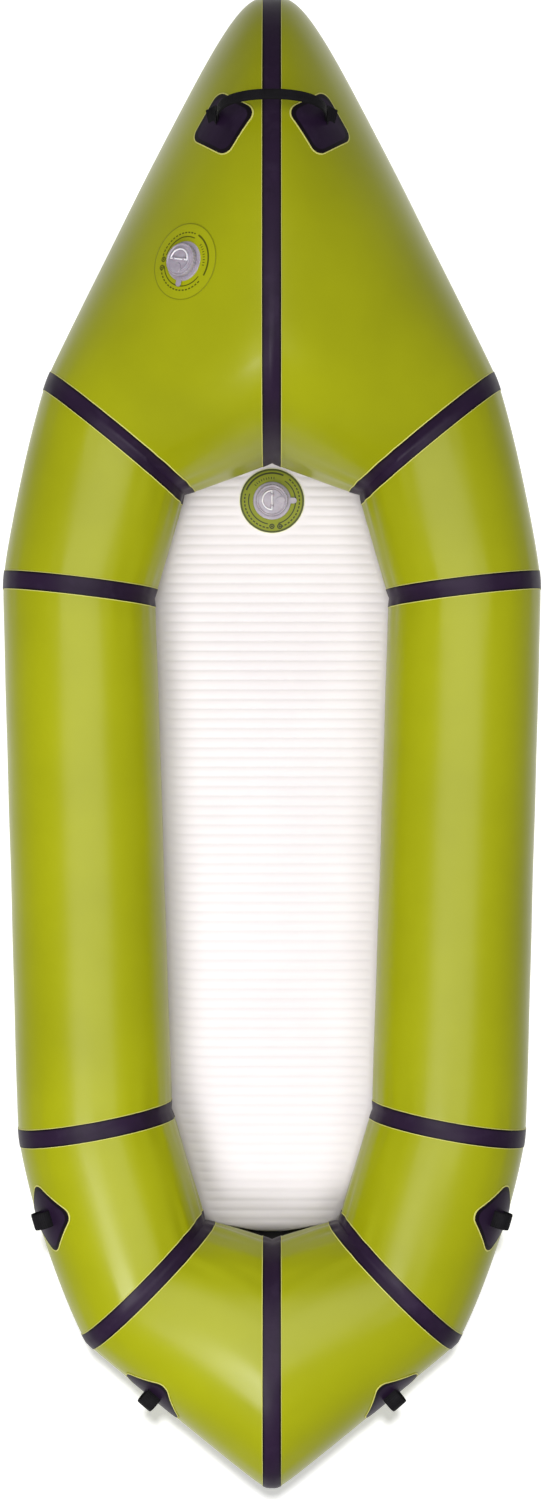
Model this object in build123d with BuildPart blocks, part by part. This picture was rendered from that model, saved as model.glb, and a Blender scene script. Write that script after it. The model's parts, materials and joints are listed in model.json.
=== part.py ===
from build123d import *
import os
from math import atan2, cos, hypot, pi, sin, sqrt

# Inflatable kayak. Millimetres, +Z up, +Y to the bow, +X to starboard.
# The origin lies on the ground under the middle of the length.

# ---------------------------------------------------------------- driving dimensions
HALF_LENGTH = 1155          # bow tip and stern tip from the origin
TUBE_HEIGHT = 238           # inflated height of the side tubes
BOW_HEIGHT = 420            # top of the tube on the centreline at the bow
BOW_TIP_HEIGHT = 145        # widest line of the bow section, where its tip lies
STERN_HEIGHT = 282
STERN_TIP_HEIGHT = 146
BOW_BLUNT = 114             # how far the rounded bow falls short of a sharp point
STERN_BLUNT = 10
BLUNT_POWER = 2.7
BOW_RIDGE = 0.27            # ridge of the centre section, as a share of its width
STERN_RIDGE = 0.48
RIDGE_SWELL = 1.15          # how early the ridge rises between a diagonal seam and the centre
COCKPIT_BOW_Y = 434         # inner face of the tube on the centreline
COCKPIT_STERN_Y = -771

# Starboard ends of the seams across the tube: inner edge, then outer edge, in plan.
BOW_SEAM = ((136, 387), (353, 565))
FORE_SEAM = ((182, 226), (420, 254))
AFT_SEAM = ((156, -571), (396, -614))
STERN_SEAM = ((104, -745), (291, -934))
SHOULDER_BELLY = 5          # outer flank swells between its seams
QUARTER_BELLY = 11
BELLY_STATIONS = (0, 0.25, 0.5, 0.75, 1)

# ---------------------------------------------------------------- fabric and glue
WALL = 0.7                  # coated tube fabric
GLUE = 0.3                  # glue line between two layers
TAPE = 0.6                  # seam tape and patch fabric
TAPE_WIDTH = 28
SHEET = 1.0                 # floor sheet
SHEET_MARGIN = 26           # floor sheet beyond the line where the tube touches it
TAPE_LOW = GLUE             # a tape lies between these two offsets from the tube
TAPE_HIGH = GLUE + TAPE
KEEL = SHEET + GLUE + TAPE + GLUE     # lowest line of the tube panels

# ---------------------------------------------------------------- air mat
MAT_THICK = 50
MAT_SKIN = 0.9
MAT_CLEARANCE = 5.8         # mat's upper edge to the tube that bulges over it
MAT_STERN_GAP = 6           # mat edge short of the stern tube
RIB_PITCH = 15.3            # rib of the top skin
WEB_EVERY = 4               # ribs from one inner web to the next
WEB_WALL = 0.9
MAT_CORNER = 38
MAT_LOW = SHEET + GLUE
MAT_HIGH = MAT_LOW + MAT_THICK

# ---------------------------------------------------------------- patches and webbing
PATCH = 84
PATCH_CORNER = 16
PATCH_REACH = 70            # prism that cuts a patch out of a fabric layer
WEBBING = 25
WEB_T = 1.6
BOW_PATCH_AT = (75, 922)
BOW_PATCH_WIDE = 96         # handle patch across the flank
BOW_PATCH_TURN = 36         # patch sides lie along the bow's flank
HANDLE_PIVOT_X = 82
HANDLE_PIVOT_Y = 934
HANDLE_RISE = 74            # strap crown above its pivots
HANDLE_LEAN = 12            # degrees forward at rest
HANDLE_WIDTH = 16
HANDLE_T = 3.0
HANDLE_SHOULDER = 30        # straight ends of the strap's arch
PIVOT_GAP = 0.3
LUG_RISE = 18               # pivots above the tube surface
LUG_FOOT = 22
QUARTER_TIE_AT = (347, -732)
STERN_TIE_AT = (184, -1006)
LOOP_OUT = 20               # loop crown above the tube
LOOP_SPAN = 34
LOOP_ROOT = 8               # loop legs before they are trimmed to the tube

# ---------------------------------------------------------------- valves
TUBE_VALVE_AT = (129, 714)  # on the port side
MAT_VALVE_Y = 384
BOOT_RADIUS = 57.5
MAT_BOOT_RADIUS = 52
FLANGE_RADIUS = 30
FLANGE_HIGH = 3.2           # heights along a valve's axis start at the fabric
FLANGE_DEEP = 9             # flange blank before it is trimmed to the tube
NECK_RADIUS = 19
NECK_WALL = 2.2
NECK_HIGH = 9.5
NECK_DEEP = 7
HOLE_GAP = 0.3              # neck in its hole through the fabric
RUN = 0.1                   # running clearance of the cap on the neck
GASKET = 1.4
CAP_RADIUS = 25
CAP_LOW = 5.0
CAP_TOP = 2.2
CAP_GRIPS = 30
GRIP_RADIUS = 1.5
GRIP_OUT = 0.8              # centre of each grip scallop beyond the cap
CAP_ROUND = 1.2             # rounded edge of the cap
FLANGE_ROUND = 1.0
TAB_ROUND = 0.6
THREAD_PITCH = 3.0
INSERT_T = 1.6
INSERT_SEAT = 3.0           # spoked insert below the neck's rim
INSERT_RING = 3.2
HUB_RADIUS = 3.4
SPOKE = 2.4
FLAP_T = 1.0
FLAP_GAP = 0.3
FLAP_LAP = 1.4              # flap over the insert's ring
LEASH_GAP = 0.2
LEASH_T = 1.2
LEASH_WIDTH = 4.6
LEASH_TONGUE = 10
TONGUE_WIDTH = 9
TAB_LENGTH = 15
TAB_WIDTH = 11
TAB_T = 1.5
TAB_INNER = 6
BAIL_WIRE = 1.3
BAIL_RADIUS = 15
BAIL_LIFT = 0.4             # bail wire over the cap
EAR_SPACING = 18
EAR_LENGTH = 4
EAR_WALL = 1.3

DEGREE = pi / 180
Z_AXIS = Vector(0, 0, 1)
TUBE_MID = KEEL + TUBE_HEIGHT / 2
TUBE_TOP = KEEL + TUBE_HEIGHT
PATCH_FACE = TAPE_HIGH + GLUE         # what is sewn or glued on a patch starts here
CAP_FACE = NECK_HIGH + RUN + GASKET + CAP_TOP
HOLE_RADIUS = NECK_RADIUS + HOLE_GAP

os.makedirs("parts", exist_ok=True)


def write(part, label):
    """Label a finished piece and write it as one STEP file."""
    part.label = label
    export_step(part, "parts/" + label + ".step")


# ================================================================ hull geometry
def section(pivot, direction, inner, ridge, outer, mid, top):
    """One vertical section of the tube: radii are measured from the pivot along the direction."""
    across = Vector(direction[0], direction[1], 0)
    plane = Plane(origin=(pivot[0], pivot[1], 0), x_dir=across, z_dir=across.cross(Z_AXIS))
    return {"plane": plane, "inner": inner, "ridge": ridge, "outer": outer, "mid": mid, "top": top}


def seam_section(seam):
    """Section of the plain tube at a seam given by its two plan points."""
    (x_in, y_in), (x_out, y_out) = seam
    width = hypot(x_out - x_in, y_out - y_in)
    direction = ((x_out - x_in) / width, (y_out - y_in) / width)
    return section((x_in, y_in), direction, 0, width / 2, width, TUBE_MID, TUBE_TOP)


def bellied_sections(seam_a, seam_b, belly):
    """Sections between two cross seams, with the outer flank pushed out by belly at mid length."""
    found = []
    for share in BELLY_STATIONS:
        x_in, x_out = (seam_a[k][0] + (seam_b[k][0] - seam_a[k][0]) * share for k in (0, 1))
        y_in, y_out = (seam_a[k][1] + (seam_b[k][1] - seam_a[k][1]) * share for k in (0, 1))
        width = hypot(x_out - x_in, y_out - y_in)
        direction = ((x_out - x_in) / width, (y_out - y_in) / width)
        found.append(section((x_in, y_in), direction, 0, width / 2, width + belly * 4 * share * (1 - share),
                             TUBE_MID, TUBE_TOP))
    return found


def gore_sections(seam, cockpit_y, tip_y, blunt, ridge_share, mid, top):
    """Fan of sections from the centreline to a diagonal seam, about the point where that seam meets it."""
    (x_in, y_in), (x_out, y_out) = seam
    way = 1 if tip_y > 0 else -1
    pivot_y = y_in - x_in * (y_out - y_in) / (x_out - x_in)
    turn = atan2(x_out, way * (y_out - pivot_y))
    depth = abs(tip_y - y_out) + blunt
    spread = x_out / (depth**BLUNT_POWER - blunt**BLUNT_POWER) ** (1 / BLUNT_POWER)
    edge_slope = (y_in - cockpit_y) / x_in
    fan = []
    for share in (0, 0.05, 0.12, 0.22, 0.36, 0.52, 0.68, 0.84, 1):
        x = x_out * share
        reach = ((x / spread) ** BLUNT_POWER + blunt**BLUNT_POWER) ** (1 / BLUNT_POWER)
        y = tip_y + way * (blunt - reach)
        outer = hypot(x, y - pivot_y)
        direction = (x / outer, (y - pivot_y) / outer)
        inner = (cockpit_y - pivot_y) / (direction[1] - edge_slope * direction[0])
        angle = atan2(direction[0], way * direction[1])
        swell = 1 - (angle / turn) ** RIDGE_SWELL
        ridge = inner + (outer - inner) * (0.5 + (ridge_share - 0.5) * swell)
        fan.append(section((0, pivot_y), direction, inner, ridge, outer,
                           TUBE_MID + (mid - TUBE_MID) * swell,
                           TUBE_TOP + (top - TUBE_TOP) * swell))
    return fan


SEGMENTS = {
    "bow": gore_sections(BOW_SEAM, COCKPIT_BOW_Y, HALF_LENGTH, BOW_BLUNT, BOW_RIDGE,
                         BOW_TIP_HEIGHT, BOW_HEIGHT),
    "shoulder": bellied_sections(BOW_SEAM, FORE_SEAM, SHOULDER_BELLY),
    "side": [seam_section(FORE_SEAM), seam_section(AFT_SEAM)],
    "quarter": bellied_sections(AFT_SEAM, STERN_SEAM, QUARTER_BELLY),
    "stern": gore_sections(STERN_SEAM, COCKPIT_STERN_Y, -HALF_LENGTH, STERN_BLUNT, STERN_RIDGE,
                           STERN_TIP_HEIGHT, STERN_HEIGHT),
}


def volume(segment, grow):
    """Solid inside one starboard panel, with its surface moved outward by grow."""
    with BuildPart() as body:
        for cut in SEGMENTS[segment]:
            centre = (cut["ridge"], cut["mid"])
            out_radius = cut["outer"] - cut["ridge"] + grow
            in_radius = cut["ridge"] - cut["inner"] + grow
            up_radius = cut["top"] - cut["mid"] + grow
            down_radius = cut["mid"] - KEEL + grow
            with BuildSketch(cut["plane"]):
                with BuildLine():
                    EllipticalCenterArc(centre, out_radius, up_radius, 0, arc_size=90)
                    EllipticalCenterArc(centre, in_radius, up_radius, 90, arc_size=90)
                    EllipticalCenterArc(centre, in_radius, down_radius, 180, arc_size=90)
                    EllipticalCenterArc(centre, out_radius, down_radius, 270, arc_size=90)
                make_face()
        loft(ruled=True)
    return body.part


def layer(segment, low, high):
    """Fabric layer over one starboard panel, between two offsets from its surface."""
    outside = volume(segment, high)
    inside = volume(segment, low)
    with BuildPart() as skin:
        add(outside)
        add(inside, mode=Mode.SUBTRACT)
    return skin.part


def surface_plane(segment, at):
    """Plane on top of a panel over a plan point, with its normal outward and x_dir level."""
    side = -1 if at[0] < 0 else 1
    probe = Axis((abs(at[0]), at[1], 1000), (0, 0, -1))
    hits = volume(segment, 0).find_intersection_points(probe)
    spot, normal = max(hits, key=lambda hit: hit[0].Z)
    spot = Vector(side * spot.X, spot.Y, spot.Z)
    normal = Vector(side * normal.X, normal.Y, normal.Z)
    return Plane(origin=spot, x_dir=Z_AXIS.cross(normal), z_dir=normal)



def to_port(solid):
    """Port-side copy of a starboard solid."""
    with BuildPart() as copy:
        mirror(solid, about=Plane.YZ)
    return copy.part


def cut_out(solid, plane, outline, reach=PATCH_REACH):
    """Part of a solid inside the prism raised from an outline both ways."""
    with BuildPart() as piece:
        add(solid)
        with BuildSketch(plane):
            add(outline)
        extrude(amount=reach, both=True, mode=Mode.INTERSECT)
    return piece.part


# ================================================================ tube panels
VALVE_PLANE = surface_plane("bow", (-TUBE_VALVE_AT[0], TUBE_VALVE_AT[1]))

for segment in SEGMENTS:
    panel = layer(segment, -WALL, 0)
    write(panel, "hull_" + segment + "_starboard")
    port_panel = to_port(panel)
    if segment == "bow":
        with BuildPart() as holed:
            add(port_panel)
            with BuildSketch(VALVE_PLANE):
                Circle(HOLE_RADIUS)
            extrude(amount=FLANGE_RADIUS, both=True, mode=Mode.SUBTRACT)
        port_panel = holed.part
    write(port_panel, "hull_" + segment + "_port")

# ================================================================ seam tapes
CROSS_SEAMS = {
    "bow_diagonal": (BOW_SEAM, "bow", "shoulder"),
    "fore": (FORE_SEAM, "shoulder", "side"),
    "aft": (AFT_SEAM, "side", "quarter"),
    "stern_diagonal": (STERN_SEAM, "quarter", "stern"),
}
COVERS = {segment: layer(segment, TAPE_LOW, TAPE_HIGH) for segment in SEGMENTS}

for seam_name, (seam, before, after) in CROSS_SEAMS.items():
    with BuildPart() as tape:
        add(COVERS[before])
        add(COVERS[after])
        with BuildSketch(seam_section(seam)["plane"]):
            Rectangle(2 * HALF_LENGTH, 2 * HALF_LENGTH)
        extrude(amount=TAPE_WIDTH / 2, both=True, mode=Mode.INTERSECT)
    write(tape.part, "tape_" + seam_name + "_starboard")
    write(to_port(tape.part), "tape_" + seam_name + "_port")

for end in ("bow", "stern"):
    with BuildPart() as centre_tape:
        add(COVERS[end])
        with BuildSketch(Plane.YZ):
            Rectangle(3 * HALF_LENGTH, 3 * HALF_LENGTH)
        extrude(amount=TAPE_WIDTH / 2, mode=Mode.INTERSECT)
        mirror(about=Plane.YZ)
    write(centre_tape.part, "tape_" + end + "_centre")

# ================================================================ floor sheet
def ridge_points(segment, beyond):
    """Plan points along a gore's ridge, moved outward, from the centreline."""
    points = []
    for cut in SEGMENTS[segment]:
        spot = cut["plane"].origin + cut["plane"].x_dir * (cut["ridge"] + beyond)
        points.append((spot.X, spot.Y))
    return points


BOW_EDGE = ridge_points("bow", SHEET_MARGIN)
SIDE_EDGE = ridge_points("side", SHEET_MARGIN)
STERN_EDGE = ridge_points("stern", SHEET_MARGIN)

with BuildPart() as floor_sheet:
    with BuildSketch():
        with BuildLine():
            Spline(*BOW_EDGE)
            Polyline(BOW_EDGE[-1], *SIDE_EDGE, STERN_EDGE[-1])
            Spline(*STERN_EDGE)
            Line(STERN_EDGE[0], BOW_EDGE[0])
        make_face()
        mirror(about=Plane.YZ)
    extrude(amount=SHEET)
write(floor_sheet.part, "floor_sheet")

# ================================================================ air mat
# The mat reaches under the tube as far as the tube's roundness leaves room at the mat's top.
TUBE_RADIUS = TUBE_HEIGHT / 2
MAT_TUCK = TUBE_RADIUS - sqrt(TUBE_RADIUS**2 - (TUBE_MID - MAT_HIGH) ** 2) - MAT_CLEARANCE

with BuildSketch() as mat_outline:
    with BuildLine():
        cockpit_edge = Polyline((0, COCKPIT_BOW_Y), BOW_SEAM[0], FORE_SEAM[0], AFT_SEAM[0], STERN_SEAM[0],
                                (0, COCKPIT_STERN_Y), close=True)
    make_face()
    mirror(about=Plane.YZ)
    offset(amount=MAT_TUCK, kind=Kind.INTERSECTION)
    with Locations((0, COCKPIT_STERN_Y + MAT_STERN_GAP)):
        Rectangle(2 * HALF_LENGTH, HALF_LENGTH, align=(Align.CENTER, Align.MAX), mode=Mode.SUBTRACT)
    fillet(mat_outline.vertices().group_by(Axis.Y)[0], MAT_CORNER)
with BuildSketch() as mat_inside:
    add(mat_outline.sketch)
    offset(amount=-WEB_WALL, mode=Mode.REPLACE)

MAT_PLANE = Plane(origin=(0, MAT_VALVE_Y, MAT_HIGH), x_dir=(1, 0, 0), z_dir=(0, 0, 1))
SKIN_LOW = MAT_LOW + MAT_SKIN
SKIN_HIGH = MAT_HIGH - MAT_SKIN

with BuildPart() as mat_top:
    with BuildSketch(Plane.XY.offset(SKIN_HIGH)):
        add(mat_outline.sketch)
        with Locations((0, MAT_VALVE_Y)):
            Circle(HOLE_RADIUS, mode=Mode.SUBTRACT)
    extrude(amount=MAT_SKIN)
write(mat_top.part, "mat_top_skin")

with BuildPart() as mat_bottom:
    with BuildSketch(Plane.XY.offset(MAT_LOW)):
        add(mat_outline.sketch)
    extrude(amount=MAT_SKIN)
write(mat_bottom.part, "mat_bottom_skin")

with BuildPart() as mat_side:
    with BuildSketch(Plane.XY.offset(SKIN_LOW)):
        add(mat_outline.sketch)
        add(mat_inside.sketch, mode=Mode.SUBTRACT)
    extrude(amount=SKIN_HIGH - SKIN_LOW)
write(mat_side.part, "mat_side_band")

WEB_PITCH = WEB_EVERY * RIB_PITCH
WEB_COUNT = int((MAT_VALVE_Y - COCKPIT_STERN_Y - MAT_STERN_GAP) / WEB_PITCH)
with BuildPart() as mat_webs:
    with BuildSketch(Plane.XY.offset(SKIN_LOW)):
        for index in range(-1, WEB_COUNT):
            with Locations((0, MAT_VALVE_Y - (index + 0.5) * WEB_PITCH)):
                Rectangle(2 * HALF_LENGTH, WEB_WALL)
        add(mat_inside.sketch, mode=Mode.INTERSECT)
    extrude(amount=SKIN_HIGH - SKIN_LOW)
write(mat_webs.part, "mat_inner_webs")

# ================================================================ bow handle
with BuildSketch() as patch_outline:
    RectangleRounded(PATCH, BOW_PATCH_WIDE, PATCH_CORNER)

bow_patch_plane = surface_plane("bow", BOW_PATCH_AT)
flank = Vector(-sin(BOW_PATCH_TURN * DEGREE), cos(BOW_PATCH_TURN * DEGREE), 0)
normal = bow_patch_plane.z_dir
flank_plane = Plane(origin=bow_patch_plane.origin, x_dir=flank - normal * flank.dot(normal), z_dir=normal)
bow_patch = cut_out(COVERS["bow"], flank_plane, patch_outline.sketch)
write(bow_patch, "handle_patch_starboard")
write(to_port(bow_patch), "handle_patch_port")

pivot_foot = surface_plane("bow", (HANDLE_PIVOT_X, HANDLE_PIVOT_Y))
PIVOT_Z = pivot_foot.origin.Z + LUG_RISE
normal = pivot_foot.z_dir
across = Vector(1, 0, 0) - normal * normal.X
lug_plane = Plane(origin=pivot_foot.origin, x_dir=across, z_dir=normal)
with BuildSketch() as lug_foot_outline:
    Rectangle(LUG_FOOT, WEBBING)
lug_foot = cut_out(layer("bow", PATCH_FACE, PATCH_FACE + WEB_T), lug_plane, lug_foot_outline.sketch)
patch_volume = volume("bow", PATCH_FACE)
with BuildPart() as lug_ear:
    with BuildSketch(Plane.YZ.offset(HANDLE_PIVOT_X)):
        with BuildLine():
            Polyline((HANDLE_PIVOT_Y - WEBBING / 2, PIVOT_Z - 2 * LUG_RISE),
                     (HANDLE_PIVOT_Y - WEBBING / 2, PIVOT_Z - LUG_RISE / 2),
                     (HANDLE_PIVOT_Y - HANDLE_WIDTH / 2, PIVOT_Z))
            ThreePointArc((HANDLE_PIVOT_Y - HANDLE_WIDTH / 2, PIVOT_Z),
                          (HANDLE_PIVOT_Y, PIVOT_Z + HANDLE_WIDTH / 2),
                          (HANDLE_PIVOT_Y + HANDLE_WIDTH / 2, PIVOT_Z))
            Polyline((HANDLE_PIVOT_Y + HANDLE_WIDTH / 2, PIVOT_Z),
                     (HANDLE_PIVOT_Y + WEBBING / 2, PIVOT_Z - LUG_RISE / 2),
                     (HANDLE_PIVOT_Y + WEBBING / 2, PIVOT_Z - 2 * LUG_RISE),
                     (HANDLE_PIVOT_Y - WEBBING / 2, PIVOT_Z - 2 * LUG_RISE))
        make_face()
    extrude(amount=WEB_T)
    add(patch_volume, mode=Mode.SUBTRACT)
    add(lug_foot)
write(lug_ear.part, "handle_lug_starboard")
write(to_port(lug_ear.part), "handle_lug_port")

# The strap's arch stands in a plane through both pivots, leaning forward.
lean = HANDLE_LEAN * DEGREE
ARCH_PLANE = Plane(origin=(0, HANDLE_PIVOT_Y, PIVOT_Z), x_dir=(1, 0, 0), z_dir=(0, -cos(lean), sin(lean)))
STRAP_X = HANDLE_PIVOT_X - PIVOT_GAP - HANDLE_T
with BuildPart() as handle_strap:
    with BuildSketch(ARCH_PLANE):
        with BuildLine():
            Line((STRAP_X, 0), (STRAP_X, HANDLE_SHOULDER / 2))
            Spline((STRAP_X, HANDLE_SHOULDER / 2), (0, HANDLE_RISE - HANDLE_T),
                   tangents=((0, 1), (-1, 0)), tangent_scalars=(1.1, 0.9))
            Line((0, HANDLE_RISE - HANDLE_T), (0, HANDLE_RISE))
            Spline((0, HANDLE_RISE), (STRAP_X + HANDLE_T, HANDLE_SHOULDER / 2),
                   tangents=((1, 0), (0, -1)), tangent_scalars=(0.9, 1.1))
            Polyline((STRAP_X + HANDLE_T, HANDLE_SHOULDER / 2), (STRAP_X + HANDLE_T, 0), (STRAP_X, 0))
        make_face()
        mirror(about=Plane.YZ)
    extrude(amount=HANDLE_WIDTH / 2, both=True)
    with BuildSketch(Plane.YZ.offset(STRAP_X)):
        with Locations((HANDLE_PIVOT_Y, PIVOT_Z)):
            Circle(HANDLE_WIDTH / 2)
    extrude(amount=HANDLE_T)
    mirror(about=Plane.YZ)
write(handle_strap.part, "handle_strap")

# ================================================================ tie-down points
for tie_name, segment, at in (("quarter", "quarter", QUARTER_TIE_AT), ("stern", "stern", STERN_TIE_AT)):
    tie_plane = surface_plane(segment, at)
    with BuildSketch() as diamond:
        RectangleRounded(PATCH, PATCH, PATCH_CORNER, rotation=45)
    patch = cut_out(COVERS[segment], tie_plane, diamond.sketch)
    write(patch, "tie_patch_" + tie_name + "_starboard")
    write(to_port(patch), "tie_patch_" + tie_name + "_port")

    inside = volume(segment, PATCH_FACE)
    loop_plane = Plane(origin=tie_plane.origin, x_dir=tie_plane.y_dir, z_dir=tie_plane.x_dir)
    with BuildPart() as loop:
        with BuildSketch(loop_plane):
            Ellipse(LOOP_SPAN / 2, LOOP_OUT)
            Ellipse(LOOP_SPAN / 2 - WEB_T, LOOP_OUT - WEB_T, mode=Mode.SUBTRACT)
        extrude(amount=WEBBING / 2, both=True)
        add(inside, mode=Mode.SUBTRACT)
        split(bisect_by=Plane(origin=tie_plane.origin - tie_plane.z_dir * LOOP_ROOT, z_dir=tie_plane.z_dir))
    write(loop.part, "tie_loop_" + tie_name + "_starboard")
    write(to_port(loop.part), "tie_loop_" + tie_name + "_port")


# ================================================================ valves
def valve(prefix, plane, boot, seat):
    """Screw-cap valve on a plane: boot is its printed ring, seat the volume its flange stands on."""
    write(boot, prefix + "_boot")

    with BuildPart() as flange:
        with BuildSketch(plane.offset(-FLANGE_DEEP)):
            Circle(FLANGE_RADIUS)
        extrude(amount=FLANGE_DEEP + FLANGE_HIGH)
        fillet(flange.edges().group_by(Axis(plane.origin, plane.z_dir))[-1], FLANGE_ROUND)
        add(seat, mode=Mode.SUBTRACT)
    with BuildPart() as body:
        add(flange.part)
        with BuildSketch(plane.offset(-NECK_DEEP)):
            Circle(NECK_RADIUS)
        extrude(amount=NECK_DEEP + NECK_HIGH)
        with BuildSketch(plane.offset(-FLANGE_DEEP)):
            Circle(NECK_RADIUS - NECK_WALL)
        extrude(amount=2 * FLANGE_DEEP + NECK_HIGH, mode=Mode.SUBTRACT)
    write(body.part, prefix + "_body")

    insert_top = NECK_HIGH - INSERT_SEAT
    bore = NECK_RADIUS - NECK_WALL
    with BuildPart() as insert:
        with BuildSketch(plane.offset(insert_top - INSERT_T)):
            Circle(bore)
            Circle(bore - INSERT_RING, mode=Mode.SUBTRACT)
            with PolarLocations(bore / 2, 3):
                Rectangle(bore - INSERT_RING / 2, SPOKE)
            Circle(HUB_RADIUS)
        extrude(amount=INSERT_T)
    write(insert.part, prefix + "_insert")

    flap_top = insert_top - INSERT_T - FLAP_GAP
    with BuildPart() as flap:
        with BuildSketch(plane.offset(flap_top - FLAP_T)):
            Circle(bore - INSERT_RING + FLAP_LAP)
        extrude(amount=FLAP_T)
    write(flap.part, prefix + "_flap")

    with BuildPart() as leash:
        with BuildSketch(plane.offset(FLANGE_HIGH + LEASH_GAP)):
            Circle(NECK_RADIUS + HOLE_GAP + LEASH_WIDTH)
            with Locations((NECK_RADIUS + LEASH_TONGUE, 0)):
                SlotOverall(2 * LEASH_TONGUE, TONGUE_WIDTH)
            Circle(NECK_RADIUS + HOLE_GAP, mode=Mode.SUBTRACT)
        extrude(amount=LEASH_T)
    write(leash.part, prefix + "_leash")

    with BuildPart() as gasket:
        with BuildSketch(plane.offset(NECK_HIGH + RUN)):
            Circle(NECK_RADIUS)
            Circle(NECK_RADIUS - NECK_WALL, mode=Mode.SUBTRACT)
        extrude(amount=GASKET)
    write(gasket.part, prefix + "_gasket")

    pin_high = CAP_FACE + BAIL_LIFT + BAIL_WIRE
    with BuildPart() as cap:
        with BuildSketch(plane.offset(CAP_LOW)):
            Circle(CAP_RADIUS)
        extrude(amount=CAP_FACE - CAP_LOW)
        fillet(cap.edges().group_by(Axis(plane.origin, plane.z_dir))[-1], CAP_ROUND)
        with BuildSketch(plane.offset(CAP_LOW)):
            with PolarLocations(CAP_RADIUS + GRIP_OUT, CAP_GRIPS):
                Circle(GRIP_RADIUS)
        extrude(amount=CAP_FACE - CAP_LOW, mode=Mode.SUBTRACT)
        with BuildSketch(plane.offset(CAP_LOW)):
            Circle(NECK_RADIUS + RUN)
        extrude(amount=CAP_FACE - CAP_TOP - CAP_LOW, mode=Mode.SUBTRACT)
        with BuildSketch(Plane(origin=plane.origin, x_dir=plane.x_dir, z_dir=-plane.y_dir)) as ear_profile:
            with BuildLine():
                Polyline((-EAR_WALL - BAIL_WIRE, pin_high), (-EAR_WALL - BAIL_WIRE, CAP_FACE),
                         (EAR_WALL + BAIL_WIRE, CAP_FACE), (EAR_WALL + BAIL_WIRE, pin_high))
                RadiusArc((EAR_WALL + BAIL_WIRE, pin_high), (-EAR_WALL - BAIL_WIRE, pin_high),
                          -(EAR_WALL + BAIL_WIRE))
            make_face()
            with Locations((0, pin_high)):
                Circle(BAIL_WIRE + RUN, mode=Mode.SUBTRACT)
        extrude(amount=EAR_SPACING / 2 + EAR_LENGTH / 2, both=True)
        with BuildSketch(plane.offset(CAP_FACE)):
            Rectangle(4 * EAR_WALL + 4 * BAIL_WIRE, EAR_SPACING - EAR_LENGTH)
        extrude(amount=4 * EAR_WALL + 4 * BAIL_WIRE, mode=Mode.SUBTRACT)
    write(cap.part, prefix + "_cap")

    with BuildPart() as tab:
        with BuildSketch(plane.offset(CAP_FACE)):
            with Locations((TAB_INNER + TAB_LENGTH / 2, 0)):
                Ellipse(TAB_LENGTH / 2, TAB_WIDTH / 2)
        extrude(amount=TAB_T)
        fillet(tab.edges().group_by(Axis(plane.origin, plane.z_dir))[-1], TAB_ROUND)
    write(tab.part, prefix + "_thumb_tab")

    pin_plane = plane.offset(pin_high)
    with BuildPart() as bail:
        with BuildLine(pin_plane):
            pin = Line((0, -BAIL_RADIUS), (0, BAIL_RADIUS))
        with BuildSketch(Plane(origin=pin @ 0, z_dir=pin % 0)):
            Circle(BAIL_WIRE)
        sweep(path=pin)
        with BuildLine(pin_plane):
            bow_wire = CenterArc((0, 0), BAIL_RADIUS, 90, 180)
        with BuildSketch(Plane(origin=bow_wire @ 0, z_dir=bow_wire % 0)):
            Circle(BAIL_WIRE)
        sweep(path=bow_wire)
        with Locations(pin_plane):
            with Locations((0, -BAIL_RADIUS, 0), (0, BAIL_RADIUS, 0)):
                Sphere(BAIL_WIRE)
    write(bail.part, prefix + "_bail")


def ring(radius):
    """Flat outline of a boot ring round the neck."""
    with BuildSketch() as outline:
        Circle(radius)
        Circle(HOLE_RADIUS, mode=Mode.SUBTRACT)
    return outline.sketch


tube_boot = cut_out(to_port(COVERS["bow"]), VALVE_PLANE, ring(BOOT_RADIUS))
valve("tube_valve", VALVE_PLANE, tube_boot, to_port(volume("bow", PATCH_FACE)))

with BuildPart() as mat_boot:
    with BuildSketch(MAT_PLANE.offset(TAPE_LOW)):
        add(ring(MAT_BOOT_RADIUS))
    extrude(amount=TAPE)
with BuildPart() as mat_seat:
    with BuildSketch(MAT_PLANE.offset(-2 * FLANGE_DEEP)):
        Circle(2 * FLANGE_RADIUS)
    extrude(amount=2 * FLANGE_DEEP + PATCH_FACE)
valve("mat_valve", MAT_PLANE, mat_boot.part, mat_seat.part)
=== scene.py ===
import json
from math import atan2, cos, hypot, pi, radians, sin, sqrt

import bpy
import numpy as np
from mathutils import Matrix, Vector
from mathutils.bvhtree import BVHTree
from mathutils.interpolate import poly_3d_calc


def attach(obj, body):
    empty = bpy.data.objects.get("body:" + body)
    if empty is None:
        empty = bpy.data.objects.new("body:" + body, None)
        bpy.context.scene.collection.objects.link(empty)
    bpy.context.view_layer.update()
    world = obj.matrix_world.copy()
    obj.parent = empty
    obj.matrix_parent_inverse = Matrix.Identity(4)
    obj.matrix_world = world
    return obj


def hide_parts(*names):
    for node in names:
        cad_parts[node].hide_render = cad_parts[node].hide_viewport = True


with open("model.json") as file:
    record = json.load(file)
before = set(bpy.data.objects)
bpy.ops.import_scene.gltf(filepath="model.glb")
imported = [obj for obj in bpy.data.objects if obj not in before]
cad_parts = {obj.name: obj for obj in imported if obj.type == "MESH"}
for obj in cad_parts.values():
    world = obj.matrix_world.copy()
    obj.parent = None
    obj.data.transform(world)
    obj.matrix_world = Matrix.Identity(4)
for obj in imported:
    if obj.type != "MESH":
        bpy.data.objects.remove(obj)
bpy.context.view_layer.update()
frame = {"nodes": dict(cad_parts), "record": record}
JOINTS = {joint["name"]: joint for joint in frame["record"]["behaviour"]["joints"]}

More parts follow.
